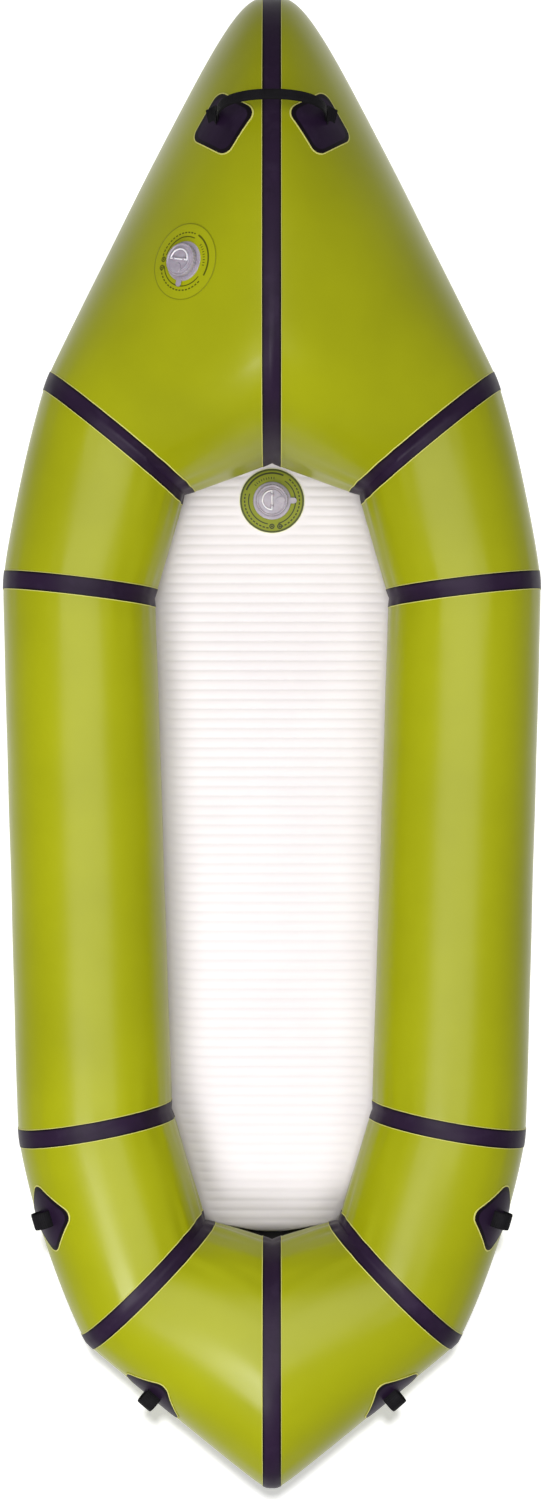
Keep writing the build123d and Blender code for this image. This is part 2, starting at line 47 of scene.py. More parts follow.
# Metres. +Y to the bow, +X to starboard, +Z up, ground at zero.
HALF_LENGTH = 1.155
TUBE_MID = 0.1212
TUBE_TOP = 0.2402
KEEL = 0.0022
BOW_TOP = 0.4222
BOW_TIP_HEIGHT = 0.145
STERN_TOP = 0.2842
STERN_TIP_HEIGHT = 0.146
BOW_BLUNT = 0.114
STERN_BLUNT = 0.010
BLUNT_POWER = 2.7
BOW_RIDGE = 0.27
STERN_RIDGE = 0.48
RIDGE_SWELL = 1.15
COCKPIT_BOW = 0.434
COCKPIT_STERN = -0.771
BOW_SEAM = ((0.136, 0.387), (0.353, 0.565))
FORE_SEAM = ((0.182, 0.226), (0.420, 0.254))
AFT_SEAM = ((0.156, -0.571), (0.396, -0.614))
STERN_SEAM = ((0.104, -0.745), (0.291, -0.934))
SHOULDER_BELLY = 0.005
QUARTER_BELLY = 0.011
CLOTH = 0.0007

AROUND = 128                # points round the tube
PULL = 0.0017               # a welded seam holds the tube in
PULL_REACH = 0.017
TAPE_HALF = 0.0152
SHEET_THICK = 0.001
SHEET_MARGIN = 0.026
GLUED_DOWN = 0.0006         # the sheet's top below the tube's cloth
SHEET_ROWS, SHEET_COLUMNS = 161, 65

MAT_LOW = 0.0013
MAT_HIGH = 0.0513
MAT_TUCK = 0.01689
MAT_STERN_GAP = -0.006
MAT_CORNER = 0.038
RIB_PITCH = 0.0153
RIB_DEEP = 0.0019
MAT_SIDE = 0.022            # rounding of the mat's side walls
RIB_CLEAR = 0.0535          # ribs stay out from under the valve's boot
MAT_LEAST = 0.0004          # half width at which the mat's bow end stops
MAT_TOP_POINTS = 45
MAT_BOTTOM_POINTS = 25
MAT_SIDE_POINTS = 9
STATIONS_PER_RIB = 9

PATCH_HALF = 0.0426
PATCH_CORNER = 0.017
PATCH_THICK = 0.0008
PATCH_POINTS = 33
BOW_PATCH_AT = (0.075, 0.922)
BOW_PATCH_HALF = 0.0486
BOW_PATCH_TURN = radians(36)
QUARTER_TIE_AT = (0.347, -0.732)
STERN_TIE_AT = (0.184, -1.006)
WEBBING = 0.025
WEB_THICK = 0.0017
HANDLE_X = 0.0802
HANDLE_RISE = 0.0722
HANDLE_LEAN = radians(12)
LUG_X = 0.0828
LUG_FOOT = ((0.0145, 0.0021), (0.006, 0.0021), (0.0008, 0.0030))
LUG_WIDTHS = ((0, 0.5, 0.75, 0.93, 1.0), (0.0330, 0.0310, 0.0220, 0.0155, 0.008))
SIDES = {"starboard": 1, "port": -1}

WELL_RADIUS = 0.0215        # cloth inside a valve's neck
WELL_DEEP = 0.026
RAY_HIGH = 0.06             # start of the rays that lay cloth on the hull
END_WELD = 2e-6             # joins only the end rows that were drawn in to a point
MM = 0.001


# ---- hull surface
THETA = np.linspace(-pi / 2, 3 * pi / 2, AROUND + 1)


def round_section(base, reach, inner, ridge, outer, mid, top):
    """Points round one section, which stands on the line from base along reach in plan."""
    across, up = np.cos(THETA), np.sin(THETA)
    radius = ridge + np.where(across >= 0, (outer - ridge) * across, (ridge - inner) * across)
    height = mid + np.where(up >= 0, (top - mid) * up, (mid - KEEL) * up)
    return np.stack([base[0] + reach[0] * radius, base[1] + reach[1] * radius, height], -1)


def plain_section(seam):
    (x_in, y_in), (x_out, y_out) = seam
    width = hypot(x_out - x_in, y_out - y_in)
    way = ((x_out - x_in) / width, (y_out - y_in) / width)
    return round_section((x_in, y_in), way, 0, width / 2, width, TUBE_MID, TUBE_TOP)


def gore_section(share, seam, cockpit_y, tip_y, blunt, ridge_share, mid, top):
    """Section of a bow or stern panel, at a share of the way from the centre to the seam."""
    (x_in, y_in), (x_out, y_out) = seam
    way = 1 if tip_y > 0 else -1
    pivot_y = y_in - x_in * (y_out - y_in) / (x_out - x_in)
    turn = atan2(x_out, way * (y_out - pivot_y))
    depth = abs(tip_y - y_out) + blunt
    steep = x_out / (depth**BLUNT_POWER - blunt**BLUNT_POWER) ** (1 / BLUNT_POWER)
    slope = (y_in - cockpit_y) / x_in
    x = x_out * share
    reach = ((x / steep) ** BLUNT_POWER + blunt**BLUNT_POWER) ** (1 / BLUNT_POWER)
    y = tip_y + way * (blunt - reach)
    outer = hypot(x, y - pivot_y)
    aim = (x / outer, (y - pivot_y) / outer)
    inner = (cockpit_y - pivot_y) / (aim[1] - slope * aim[0])
    swell = 1 - (atan2(aim[0], way * aim[1]) / turn) ** RIDGE_SWELL
    ridge = inner + (outer - inner) * (0.5 + (ridge_share - 0.5) * swell)
    return round_section((0, pivot_y), aim, inner, ridge, outer,
                         TUBE_MID + (mid - TUBE_MID) * swell, TUBE_TOP + (top - TUBE_TOP) * swell)


def seam_plane(seam):
    """Point on a cross seam's upright plane, and the plane's level normal."""
    (x_in, y_in), (x_out, y_out) = seam
    width = hypot(x_out - x_in, y_out - y_in)
    return np.array([x_in, y_in, 0.0]), np.array([-(y_out - y_in) / width, (x_out - x_in) / width, 0.0])


CENTRE_PLANE = (np.zeros(3), np.array([1.0, 0.0, 0.0]))


def spaced(count):
    """Row stations from 0 to 1, closer together near both seams."""
    even = np.linspace(0, 1, count)
    return 0.35 * even + 0.65 * (1 - np.cos(pi * even)) / 2


def unit(vectors):
    return vectors / np.maximum(np.linalg.norm(vectors, axis=-1, keepdims=True), 1e-12)


def turned_out(facing, away):
    """Unit directions, all flipped if they point in rather than away."""
    facing = unit(facing)
    return facing * np.where((facing * away).sum() >= 0, 1, -1)


def ring_normals(ring, plane_normal):
    """Outward directions round a seam, within the seam's own plane."""
    along = np.gradient(ring, axis=0)
    along[0] = along[-1] = ring[1] - ring[-2]
    return turned_out(np.cross(along, plane_normal), ring - ring.mean(axis=0))


def skin_normals(rows):
    down_rows = np.gradient(rows, axis=0)
    round_rows = np.gradient(rows, axis=1)
    round_rows[:, 0] = round_rows[:, -1] = rows[:, 1] - rows[:, -2]
    return turned_out(np.cross(round_rows, down_rows), rows - rows.mean(axis=1, keepdims=True))


def puckers(gap, tag, sharp):
    """Small radial gathers beside a welded seam, most on the inside of a bend."""
    draw = np.random.default_rng(tag)
    gathers = np.zeros(AROUND + 1)
    for count, weight in ((11, 0.6), (19, 1.0), (27, 0.7), (37, 0.4)):
        gathers += weight * np.sin(count * THETA + draw.uniform(0, 2 * pi))
    inside = np.clip(-np.cos(THETA), 0, 1) ** 2 * np.clip(1 - np.abs(np.sin(THETA)) ** 6, 0, 1)
    size = 0.00016 + sharp * inside
    rise = gap / 0.022
    return gathers * size * rise * np.exp(1 - rise)


def build_panel(rows, planes, tags, sharp):
    """Panel surface with seams pulled in: its rows, normals and distance to each seam."""
    facing = skin_normals(rows)
    gaps = [np.abs((rows - spot) @ normal) for spot, normal in planes]
    for gap, end, (spot, normal) in zip(gaps, (0, -1), planes):
        hold = np.exp(-(gap / 0.010) ** 2)[..., None]
        facing = unit(facing * (1 - hold) + ring_normals(rows[end], normal) * hold)
    lift = np.zeros(rows.shape[:2])
    for gap, tag, bend in zip(gaps, tags, sharp):
        lift -= PULL * np.exp(-gap / PULL_REACH)
        lift += puckers(gap, tag, bend)
    swing = np.sin(rows[..., 1] * 23 + 1.7 * np.sin(THETA)) * np.sin(2 * THETA + 9 * rows[..., 1])
    lift += 0.00035 * swing * (1 - np.exp(-np.minimum(*gaps) / 0.05))
    rows = rows + facing * lift[..., None]
    return {"rows": rows, "normals": skin_normals(rows), "gaps": gaps}


def straight_panel(seam_a, seam_b, count, tags, sharp, belly):
    """Panel between two cross seams; air pushes its outer flank out by belly at mid length."""
    share = spaced(count)[:, None, None]
    rows = plain_section(seam_a) * (1 - share) + plain_section(seam_b) * share
    (in_a, out_a), (in_b, out_b) = np.array(seam_a), np.array(seam_b)
    away = unit(np.pad((out_a - in_a) * (1 - share) + (out_b - in_b) * share, [(0, 0), (0, 0), (0, 1)]))
    rows = rows + away * (belly * 4 * share * (1 - share) * np.maximum(np.cos(THETA), 0)[None, :, None])
    return build_panel(rows, (seam_plane(seam_a), seam_plane(seam_b)), tags, sharp)


def gore_panel(count, tags, sharp, seam, *shape):
    rows = np.stack([gore_section(share, seam, *shape) for share in spaced(count)])
    return build_panel(rows, (CENTRE_PLANE, seam_plane(seam)), tags, sharp)


BOW_SHAPE = (BOW_SEAM, COCKPIT_BOW, HALF_LENGTH, BOW_BLUNT, BOW_RIDGE, BOW_TIP_HEIGHT, BOW_TOP)
STERN_SHAPE = (STERN_SEAM, COCKPIT_STERN, -HALF_LENGTH, STERN_BLUNT, STERN_RIDGE, STERN_TIP_HEIGHT, STERN_TOP)


def hull_side(tag):
    """All five panels of one side, in starboard coordinates; tags seed the gathers at each seam."""
    bow, fore, aft, stern = range(tag + 1, tag + 5)
    soft, hard = 0.0003, 0.0008
    return {
        "bow": gore_panel(96, (tag, bow), (0.0002, hard), *BOW_SHAPE),
        "shoulder": straight_panel(BOW_SEAM, FORE_SEAM, 46, (bow, fore), (hard, soft), SHOULDER_BELLY),
        "side": straight_panel(FORE_SEAM, AFT_SEAM, 84, (fore, aft), (soft, soft), 0),
        "quarter": straight_panel(AFT_SEAM, STERN_SEAM, 46, (aft, stern), (soft, hard), QUARTER_BELLY),
        "stern": gore_panel(64, (tag + 5, stern), (0.0005, hard), *STERN_SHAPE),
    }


def mirrored(panel):
    flip = np.array([-1.0, 1.0, 1.0])
    return {"rows": panel["rows"] * flip, "normals": panel["normals"] * flip, "gaps": panel["gaps"]}


PANELS = {"starboard": hull_side(40)}
PANELS["port"] = {name: mirrored(panel) for name, panel in hull_side(70).items()}
# Both bow gores and both stern gores share the gathers of their centre seam.
for end in ("bow", "stern"):
    PANELS["port"][end] = mirrored(PANELS["starboard"][end])


# ---- modelling helpers
def fresh():
    if bpy.context.object and bpy.context.object.mode != "OBJECT":
        bpy.ops.object.mode_set(mode="OBJECT")
    bpy.ops.object.select_all(action="DESELECT")


def primitive(add, name, **settings):
    """A named primitive, by its operator, with its place, turn and size applied."""
    fresh()
    add(**settings)
    bpy.ops.object.transform_apply(location=True, rotation=True, scale=True)
    piece = bpy.context.object
    piece.name = name
    piece.data.name = name
    return piece


def choose(piece):
    fresh()
    piece.select_set(True)
    bpy.context.view_layer.objects.active = piece


def edit(*steps, where=None):
    """Run edit-mode steps on all of the active piece, or on the vertices whose place passes a test."""
    bpy.ops.object.mode_set(mode="EDIT")
    if where is None:
        bpy.ops.mesh.select_all(action="SELECT")
    else:
        bpy.ops.mesh.select_mode(type="VERT")
        bpy.ops.mesh.select_all(action="DESELECT")
        bpy.ops.object.mode_set(mode="OBJECT")
        for vertex in bpy.context.object.data.vertices:
            vertex.select = bool(where(vertex.co))
        bpy.ops.object.mode_set(mode="EDIT")
    for step in steps:
        step()
    bpy.ops.object.mode_set(mode="OBJECT")


def weld(gap=1e-6):
    return lambda: bpy.ops.mesh.remove_doubles(threshold=gap)


def outward():
    bpy.ops.mesh.normals_make_consistent(inside=False)


def finish_with(piece, kind, **settings):
    choose(piece)
    modifier = piece.modifiers.new(kind.title(), kind)
    for key, value in settings.items():
        setattr(modifier, key, value)
    bpy.ops.object.modifier_apply(modifier=modifier.name)


def flat_floats(values):
    return np.ascontiguousarray(values, dtype=np.float32).ravel()


def move_points(piece, points):
    piece.data.vertices.foreach_set("co", flat_floats(points))
    piece.data.update()


def store(piece, name, values):
    layer = piece.data.attributes.new(name, "FLOAT", "POINT")
    layer.data.foreach_set("value", flat_floats(values))


def unwrap(piece, table):
    """Give the piece a UV map in metres from one pair per vertex."""
    mesh = piece.data
    corner = np.empty(len(mesh.loops), dtype=np.int32)
    mesh.loops.foreach_get("vertex_index", corner)
    mesh.uv_layers.active.data.foreach_set("uv", flat_floats(table[corner]))


def run_lengths(rows, axis):
    steps = np.linalg.norm(np.diff(rows, axis=axis), axis=-1)
    pad = [(0, 0), (0, 0)]
    pad[axis] = (1, 0)
    return np.pad(np.cumsum(steps, axis=axis), pad)


def lay_grid(name, rows):
    """A subdivided plane moved onto rows of points; faces look along round x down."""
    down, across = rows.shape[:2]
    piece = primitive(bpy.ops.mesh.primitive_grid_add, name, x_subdivisions=across - 1,
                      y_subdivisions=down - 1, size=1)
    move_points(piece, rows)
    unwrap(piece, np.stack([run_lengths(rows, 1), run_lengths(rows, 0)], -1).reshape(-1, 2))
    return piece


def smooth(piece, angle=None):
    choose(piece)
    if angle is None:
        bpy.ops.object.shade_smooth()
    else:
        bpy.ops.object.shade_smooth_by_angle(angle=radians(angle))


def thicken(piece, thickness, bevel):
    """Give a sheet its thickness and softened cut edges."""
    finish_with(piece, "SOLIDIFY", thickness=thickness, offset=1)
    finish_with(piece, "BEVEL", width=bevel, segments=2, limit_method="ANGLE", angle_limit=radians(60))
    smooth(piece, 50)


def placed(piece, matrix):
    """Turn and move a piece modelled round the origin, and apply it."""
    choose(piece)
    piece.matrix_world = matrix @ piece.matrix_world
    bpy.ops.object.transform_apply(location=True, rotation=True, scale=True)


def put_on(piece, body, slot, material, *nodes):
    piece.data.materials.clear()
    piece.data.materials.append(material)
    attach(piece, body)
    if nodes:
        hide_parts(*nodes)


# ---- shader helpers
class Nodes:
    """Adds nodes to one tree. A term is a number, a colour or another node's output."""

    def __init__(self, tree):
        self.tree = tree

    def feed(self, socket, term):
        if hasattr(term, "is_output"):
            self.tree.links.new(term, socket)
        else:
            socket.default_value = term

    def add(self, kind, settings=None, **terms):
        """A new node's outputs. A key is a socket's name with underscores, or i and its number."""
        made = self.tree.nodes.new(kind)
        for key, value in (settings or {}).items():
            setattr(made, key, value)
        for key, term in terms.items():
            spot = int(key[1:]) if key[1:].isdigit() else key.replace("_", " ")
            self.feed(made.inputs[spot], term)
        return made.outputs

    def use(self, group, **terms):
        return self.add("ShaderNodeGroup", {"node_tree": group}, **terms)

    def operate(self, node, kind, terms):
        return self.add(node, {"operation": kind}, **{"i%d" % i: term for i, term in enumerate(terms)})

    def math(self, kind, *terms):
        return self.operate("ShaderNodeMath", kind, terms)[0]

    def vector(self, kind, *terms):
        return self.operate("ShaderNodeVectorMath", kind, terms)

    def blend(self, factor, first, second):
        return self.add("ShaderNodeMix", {"data_type": "RGBA"}, i0=factor, i6=first, i7=second)[2]

    def paint(self, under, mask, strength, over):
        """One colour laid over another through a mask."""
        return self.blend(self.math("MULTIPLY", mask, strength), under, over)

    def spread(self, value, low, high, start=0.0, end=1.0):
        return self.add("ShaderNodeMapRange", Value=value, From_Min=start, From_Max=end, To_Min=low,
                        To_Max=high)["Result"]

    def stored(self, name):
        """A value kept on the mesh's points."""
        return self.add("ShaderNodeAttribute", {"attribute_name": name})["Fac"]

    def within(self, edge, width, fade):
        """1 within a width of a cut edge, fading out past it."""
        return self.use(BORDER, Edge=edge, Width=width, Fade=fade)["Mask"]


def new_group(name, inputs, outputs):
    """A node group; an input is its name and its usual value, which is None for a place."""
    group = bpy.data.node_groups.new(name, "ShaderNodeTree")
    for key, value in inputs.items():
        kind = "NodeSocketVector" if value is None else "NodeSocketFloat"
        socket = group.interface.new_socket(key, in_out="INPUT", socket_type=kind)
        if value is not None:
            socket.default_value = value
    for key in outputs:
        group.interface.new_socket(key, in_out="OUTPUT", socket_type="NodeSocketFloat")
    given = group.nodes.new("NodeGroupInput").outputs
    return Nodes(group), given, group.nodes.new("NodeGroupOutput").inputs


def coat_grain():
    """Fine leathery skin of a coated cloth, with slow cloudy change under it."""
    inputs = {"Place": None, "Fine": 900.0, "Slow": 5.0}
    group, given, result = new_group("Coat grain", inputs, ("Height", "Cloud"))
    place, scale = given["Place"], given["Fine"]
    fine = group.add("ShaderNodeTexNoise", Vector=place, Scale=scale, Detail=3.0, Roughness=0.55)
    cells = group.add("ShaderNodeTexVoronoi", Vector=place, Scale=scale)
    slow = group.add("ShaderNodeTexNoise", Vector=place, Scale=given["Slow"], Detail=4.0, Roughness=0.5)
    group.feed(result["Height"], group.math("MULTIPLY_ADD", cells["Distance"], 0.6, fine["Fac"]))
    group.feed(result["Cloud"], slow["Fac"])
    return group.tree


def cloth_weave():
    """Over-and-under threads on a UV map in metres."""
    group, given, result = new_group("Cloth weave", {"Place": None, "Pitch": 0.001}, ("Height", "Thread"))
    split = group.add("ShaderNodeSeparateXYZ", Vector=given["Place"])
    turns = group.math("DIVIDE", pi, given["Pitch"])
    warp = group.math("SINE", group.math("MULTIPLY", split["X"], turns))
    weft = group.math("SINE", group.math("MULTIPLY", split["Y"], turns))
    over = group.math("GREATER_THAN", group.math("MULTIPLY", warp, weft), 0.0)
    under = group.math("MULTIPLY", group.math("ABSOLUTE", weft), group.math("SUBTRACT", 1.0, over))
    group.feed(result["Height"], group.math("MULTIPLY_ADD", group.math("ABSOLUTE", warp), over, under))
    group.feed(result["Thread"], over)
    return group.tree


def rubbed_places():
    """Places where handling has polished or soiled a surface."""
    group, given, result = new_group("Rubbed", {"Place": None, "Scale": 9.0, "Start": 0.5}, ("Mask",))
    broad = group.add("ShaderNodeTexNoise", Vector=given["Place"], Scale=given["Scale"], Detail=6.0,
                      Roughness=0.62, Distortion=0.4)
    end = group.math("ADD", given["Start"], 0.25)
    group.feed(result["Mask"], group.spread(broad["Fac"], 0.0, 1.0, given["Start"], end))
    return group.tree


def border():
    """1 within Width of a cut edge, fading over Fade. Edge is the distance in metres."""
    group, given, result = new_group("Border", {"Edge": 0.0, "Width": 0.001, "Fade": 0.0004}, ("Mask",))
    past = group.math("DIVIDE", group.math("SUBTRACT", given["Edge"], given["Width"]), given["Fade"])
    group.feed(result["Mask"], group.spread(past, 1.0, 0.0))
    return group.tree


GRAIN, WEAVE, RUBBED, BORDER = coat_grain(), cloth_weave(), rubbed_places(), border()


class Finish(Nodes):
    """A material being made, with its coat's grain, its rubbed places and its shader's constants."""

    def __init__(self, name, fine, slow, rubbed=None, **constants):
        self.material = bpy.data.materials.new(name)
        self.material.use_nodes = True
        super().__init__(self.material.node_tree)
        self.sockets = self.tree.nodes["Principled BSDF"].inputs
        for key, value in constants.items():
            self.sockets[key.replace("_", " ")].default_value = value
        self.place = self.add("ShaderNodeTexCoord")
        grain = self.use(GRAIN, Place=self.place["Object"], Fine=fine, Slow=slow)
        self.cloud, self.height = grain["Cloud"], grain["Height"]
        if rubbed:
            scale, start = rubbed
            self.worn = self.use(RUBBED, Place=self.place["Object"], Scale=scale, Start=start)["Mask"]

    def cloudy(self, start, end, light, dark):
        return self.blend(self.spread(self.cloud, 0.0, 1.0, start, end), light, dark)

    def cloudy_rough(self, low, high):
        return self.spread(self.cloud, low, high)

    def complete(self, colour, rough, depth, strength, height=None):
        """Wire up the shader; the bump's height is the grain's unless another is given."""
        height = height or self.height
        bump = self.add("ShaderNodeBump", Strength=strength, Distance=depth, Height=height)["Normal"]
        for key, term in (("Base Color", colour), ("Roughness", rough), ("Normal", bump)):
            self.feed(self.sockets[key], term)
        return self.material


# ---- finishes
LIME = (0.318, 0.334, 0.0022, 1)
LIME_DEEP = (0.262, 0.276, 0.0016, 1)
LIME_PALE = (0.62, 0.60, 0.16, 1)
LIME_SHADED = (0.130, 0.160, 0.003, 1)
PLUM = (0.0200, 0.0090, 0.0290, 1)
PLUM_DEEP = (0.0135, 0.0064, 0.0195, 1)
PLUM_WORN = (0.038, 0.024, 0.052, 1)
INK = (0.0050, 0.0028, 0.0052, 1)
PRINT_INK = (0.013, 0.017, 0.001, 1)
LILAC = (0.37, 0.33, 0.385, 1)
LILAC_DEEP = (0.27, 0.235, 0.285, 1)
LILAC_PALE = (0.80, 0.78, 0.82, 1)
LILAC_DULL = (0.68, 0.65, 0.70, 1)


def lime_cloth():
    cloth = Finish("hull_lime_cloth", 700.0, 3.5, (6.0, 0.56), Specular_IOR_Level=0.28)
    colour = cloth.cloudy(0.35, 0.75, LIME, LIME_DEEP)
    # Painted shade: the cloth is darker beside each seam, fading out over 30 mm past the tape.
    colour = cloth.paint(colour, cloth.within(cloth.stored("seam"), 0.018, 0.03), 0.20, LIME_DEEP)
    rough = cloth.math("MULTIPLY_ADD", cloth.worn, 0.06, cloth.cloudy_rough(0.28, 0.34))
    return cloth.complete(colour, rough, 0.00006, 0.5)


def plum_tape(name, film_width, ink_width):
    tape = Finish(name, 800.0, 14.0, (18.0, 0.52), Specular_IOR_Level=0.13)
    edge = tape.stored("edge")
    colour = tape.paint(tape.cloudy(0.3, 0.7, PLUM, PLUM_DEEP), tape.worn, 0.45, PLUM_WORN)
    colour = tape.paint(colour, tape.within(edge, 0.0052, 0.0015), 0.30, PLUM_DEEP)
    colour = tape.blend(tape.within(edge, ink_width, 0.0014), colour, INK)
    colour = tape.paint(colour, tape.within(edge, film_width, 0.0004), 0.9, LIME_PALE)
    rough = tape.math("MULTIPLY_ADD", tape.worn, 0.08, tape.cloudy_rough(0.36, 0.5))
    return tape.complete(colour, rough, 0.00008, 0.6)


def white_mat_cloth():
    cloth = Finish("mat_white_cloth", 900.0, 8.0, (10.0, 0.60), Specular_IOR_Level=0.3)
    colour = cloth.cloudy(0.3, 0.8, (0.755, 0.712, 0.732, 1), (0.71, 0.665, 0.688, 1))
    # Painted shade: the cloth is greyer the deeper it lies in a valley between ribs.
    colour = cloth.paint(colour, cloth.stored("valley"), 0.55, (0.66, 0.63, 0.645, 1))
    colour = cloth.paint(colour, cloth.worn, 0.15, (0.70, 0.67, 0.66, 1))
    return cloth.complete(colour, cloth.cloudy_rough(0.42, 0.52), 0.00008, 0.5)


def floor_cloth():
    cloth = Finish("floor_dark_cloth", 600.0, 6.0, (7.0, 0.47), Specular_IOR_Level=0.25)
    weave = cloth.use(WEAVE, Place=cloth.place["UV"], Pitch=0.0016)
    colour = cloth.blend(weave["Thread"], (0.030, 0.029, 0.033, 1), (0.038, 0.037, 0.042, 1))
    colour = cloth.paint(colour, cloth.worn, 0.5, (0.058, 0.055, 0.054, 1))
    colour = cloth.paint(colour, cloth.within(cloth.stored("edge"), 0.022, 0.001), 0.75, PLUM_DEEP)
    return cloth.complete(colour, cloth.cloudy_rough(0.5, 0.62), 0.00015, 0.7, weave["Height"])


def black_webbing():
    strap = Finish("black_webbing", 2200.0, 60.0, Specular_IOR_Level=0.08)
    weave = strap.use(WEAVE, Place=strap.place["UV"], Pitch=0.0017)
    colour = strap.blend(weave["Thread"], (0.0050, 0.0046, 0.0056, 1), (0.0095, 0.0088, 0.0104, 1))
    colour = strap.blend(strap.spread(strap.cloud, 0.0, 0.6, 0.4, 0.8), colour, (0.0135, 0.0124, 0.0150, 1))
    rim = strap.within(strap.stored("edge"), 0.0012, 0.0008)
    colour = strap.paint(colour, rim, 0.6, (0.004, 0.0038, 0.0042, 1))
    height = strap.math("MULTIPLY_ADD", strap.height, 0.25, weave["Height"])
    return strap.complete(colour, strap.cloudy_rough(0.62, 0.8), 0.0003, 0.8, height)


def moulded_plastic(name, light, dark, rough, shine):
    plastic = Finish(name, 1500.0, 70.0, (120.0, 0.55), Coat_Weight=shine, Coat_Roughness=0.15,
                     Subsurface_Weight=0.08, Subsurface_Scale=0.003)
    colour = plastic.paint(plastic.cloudy(0.3, 0.75, light, dark), plastic.worn, 0.25, dark)
    rough = plastic.math("MULTIPLY_ADD", plastic.worn, 0.12, rough)
    return plastic.complete(colour, rough, 0.00005, 0.4)


def soft_rubber():
    rubber = Finish("valve_rubber", 1800.0, 90.0, Specular_IOR_Level=0.35)
    colour = rubber.blend(rubber.cloud, (0.03, 0.03, 0.033, 1), (0.06, 0.058, 0.062, 1))
    return rubber.complete(colour, rubber.cloudy_rough(0.5, 0.7), 0.00006, 0.5)


def boot_cloth(name, rim, on_mat):
    """Ring of hull cloth printed with plain circles and a scale of ticks, on a flat UV map in metres."""
    cloth = Finish(name, 700.0, 9.0, Specular_IOR_Level=0.25)
    flat = cloth.place["UV"]
    split = cloth.add("ShaderNodeSeparateXYZ", Vector=flat)
    radius = cloth.vector("LENGTH", flat)["Value"]
    angle = cloth.math("ARCTAN2", split["Y"], split["X"])

    def circle(at, half, soft=0.0004, reach=radius):
        return cloth.within(cloth.math("ABSOLUTE", cloth.math("SUBTRACT", reach, at)), half, soft)

    def dashes(count, keep):
        """Strokes round the ring; keep runs from -1, all ink, to 1, none."""
        wave = cloth.math("SINE", cloth.math("MULTIPLY", angle, float(count)))
        return cloth.math("GREATER_THAN", wave, keep)

    def arc(middle, half):
        """1 within half of the direction middle, both in radians."""
        turned = cloth.math("COSINE", cloth.math("SUBTRACT", angle, middle))
        return cloth.math("GREATER_THAN", turned, cos(half))

    def merged(kind, result, *masks):
        for mask in masks:
            result = cloth.math(kind, result, mask)
        return result

    top = pi * 0.62
    inner_arcs = merged("MAXIMUM", arc(-0.15, 1.15), arc(-2.6, 0.85))
    outer_arcs = merged("MAXIMUM", arc(-0.2, 1.1), arc(-2.55, 0.85))
    printed = merged(
        "MAXIMUM",
        merged("MULTIPLY", circle(0.0362, 0.0017, 0.0003), dashes(56, 0.55), arc(top, 0.52)),
        merged("MULTIPLY", circle(0.0440, 0.0012), arc(top, 0.80)),
        merged("MULTIPLY", circle(0.0372, 0.0007), inner_arcs),
        merged("MULTIPLY", circle(0.0435, 0.0009), dashes(46, -0.45), outer_arcs))
    for across in (-0.0002, 0.0122):
        away = cloth.vector("SUBTRACT", flat, (across, -0.0405, 0))["Vector"]
        reach = cloth.vector("LENGTH", away)["Value"]
        printed = merged("MAXIMUM", printed, circle(0.0033, 0.0008, 0.0003, reach),
                         cloth.within(reach, 0.0015, 0.0003))
    colour = cloth.cloudy(0.35, 0.7, LIME, LIME_DEEP)
    edge = cloth.math("SUBTRACT", rim, radius)
    if on_mat:
        colour = cloth.paint(cloth.blend(0.60, colour, LIME_SHADED), printed, 0.95, PRINT_INK)
        colour = cloth.paint(colour, cloth.within(edge, 0.0036, 0.0014), 0.9, (0.030, 0.038, 0.002, 1))
        colour = cloth.paint(colour, cloth.within(edge, 0.0010, 0.0004), 0.9, (0.78, 0.77, 0.50, 1))
    else:
        colour = cloth.paint(colour, printed, 0.80, PRINT_INK)
        colour = cloth.paint(colour, cloth.within(edge, 0.0012, 0.0006), 0.6, (0.10, 0.11, 0.002, 1))
    return cloth.complete(colour, cloth.cloudy_rough(0.36, 0.46), 0.00006, 0.5)


HULL_CLOTH = lime_cloth()
TAPE_CLOTH = plum_tape("seam_tape_plum", 0.0009, 0.0030)
PATCH_CLOTH = plum_tape("patch_plum", 0.0015, 0.0068)
MAT_CLOTH = white_mat_cloth()
FLOOR_CLOTH = floor_cloth()
WEBBING_CLOTH = black_webbing()
VALVE_GREY = moulded_plastic("valve_lilac_plastic", LILAC, LILAC_DEEP, 0.30, 0.15)
VALVE_PALE = moulded_plastic("valve_pale_plastic", LILAC_PALE, LILAC_DULL, 0.26, 0.2)
VALVE_RUBBER = soft_rubber()


# ---- hull panels
HULL_TREES = {}


def panel_tree(piece):
    """Tree for casting rays at a panel, with the data for smooth normals."""
    mesh = piece.data
    points = [v.co.copy() for v in mesh.vertices]
    faces = [tuple(p.vertices) for p in mesh.polygons]
    facing = [v.normal.copy() for v in mesh.vertices]
    return BVHTree.FromPolygons(points, faces), points, faces, facing


def sink_well(piece, valve):
    """Lower the cloth inside a valve's neck, which leaves its check flap room to swing."""
    foot = Vector(JOINTS[valve + "_cap_turn"]["pos_m"])
    axis = Vector(JOINTS[valve + "_cap_turn"]["axis"])
    for vertex in piece.data.vertices:
        reach = vertex.co - foot
        along = reach.dot(axis)
        if abs(along) < 0.02 and (reach - axis * along).length < WELL_RADIUS:
            vertex.co -= axis * WELL_DEEP


for side, panels in PANELS.items():
    for name, panel in panels.items():
        rows = panel["rows"]
        gap = np.minimum(*panel["gaps"])
        facing = np.cross(rows[5, 40] - rows[5, 39], rows[6, 39] - rows[5, 39])
        if facing @ panel["normals"][5, 39] < 0:
            rows, gap = rows[:, ::-1], gap[:, ::-1]
        piece = lay_grid("hull_panel_" + name + "_" + side, rows)
        store(piece, "seam", gap)
        edit(weld())
        HULL_TREES[name, side] = panel_tree(piece)
        if (name, side) == ("bow", "port"):
            sink_well(piece, "tube_valve")
        finish_with(piece, "SOLIDIFY", thickness=CLOTH, offset=-1)
        smooth(piece, 50)
        put_on(piece, "hull", "hull_fabric", HULL_CLOTH, "hull_" + name + "_" + side)


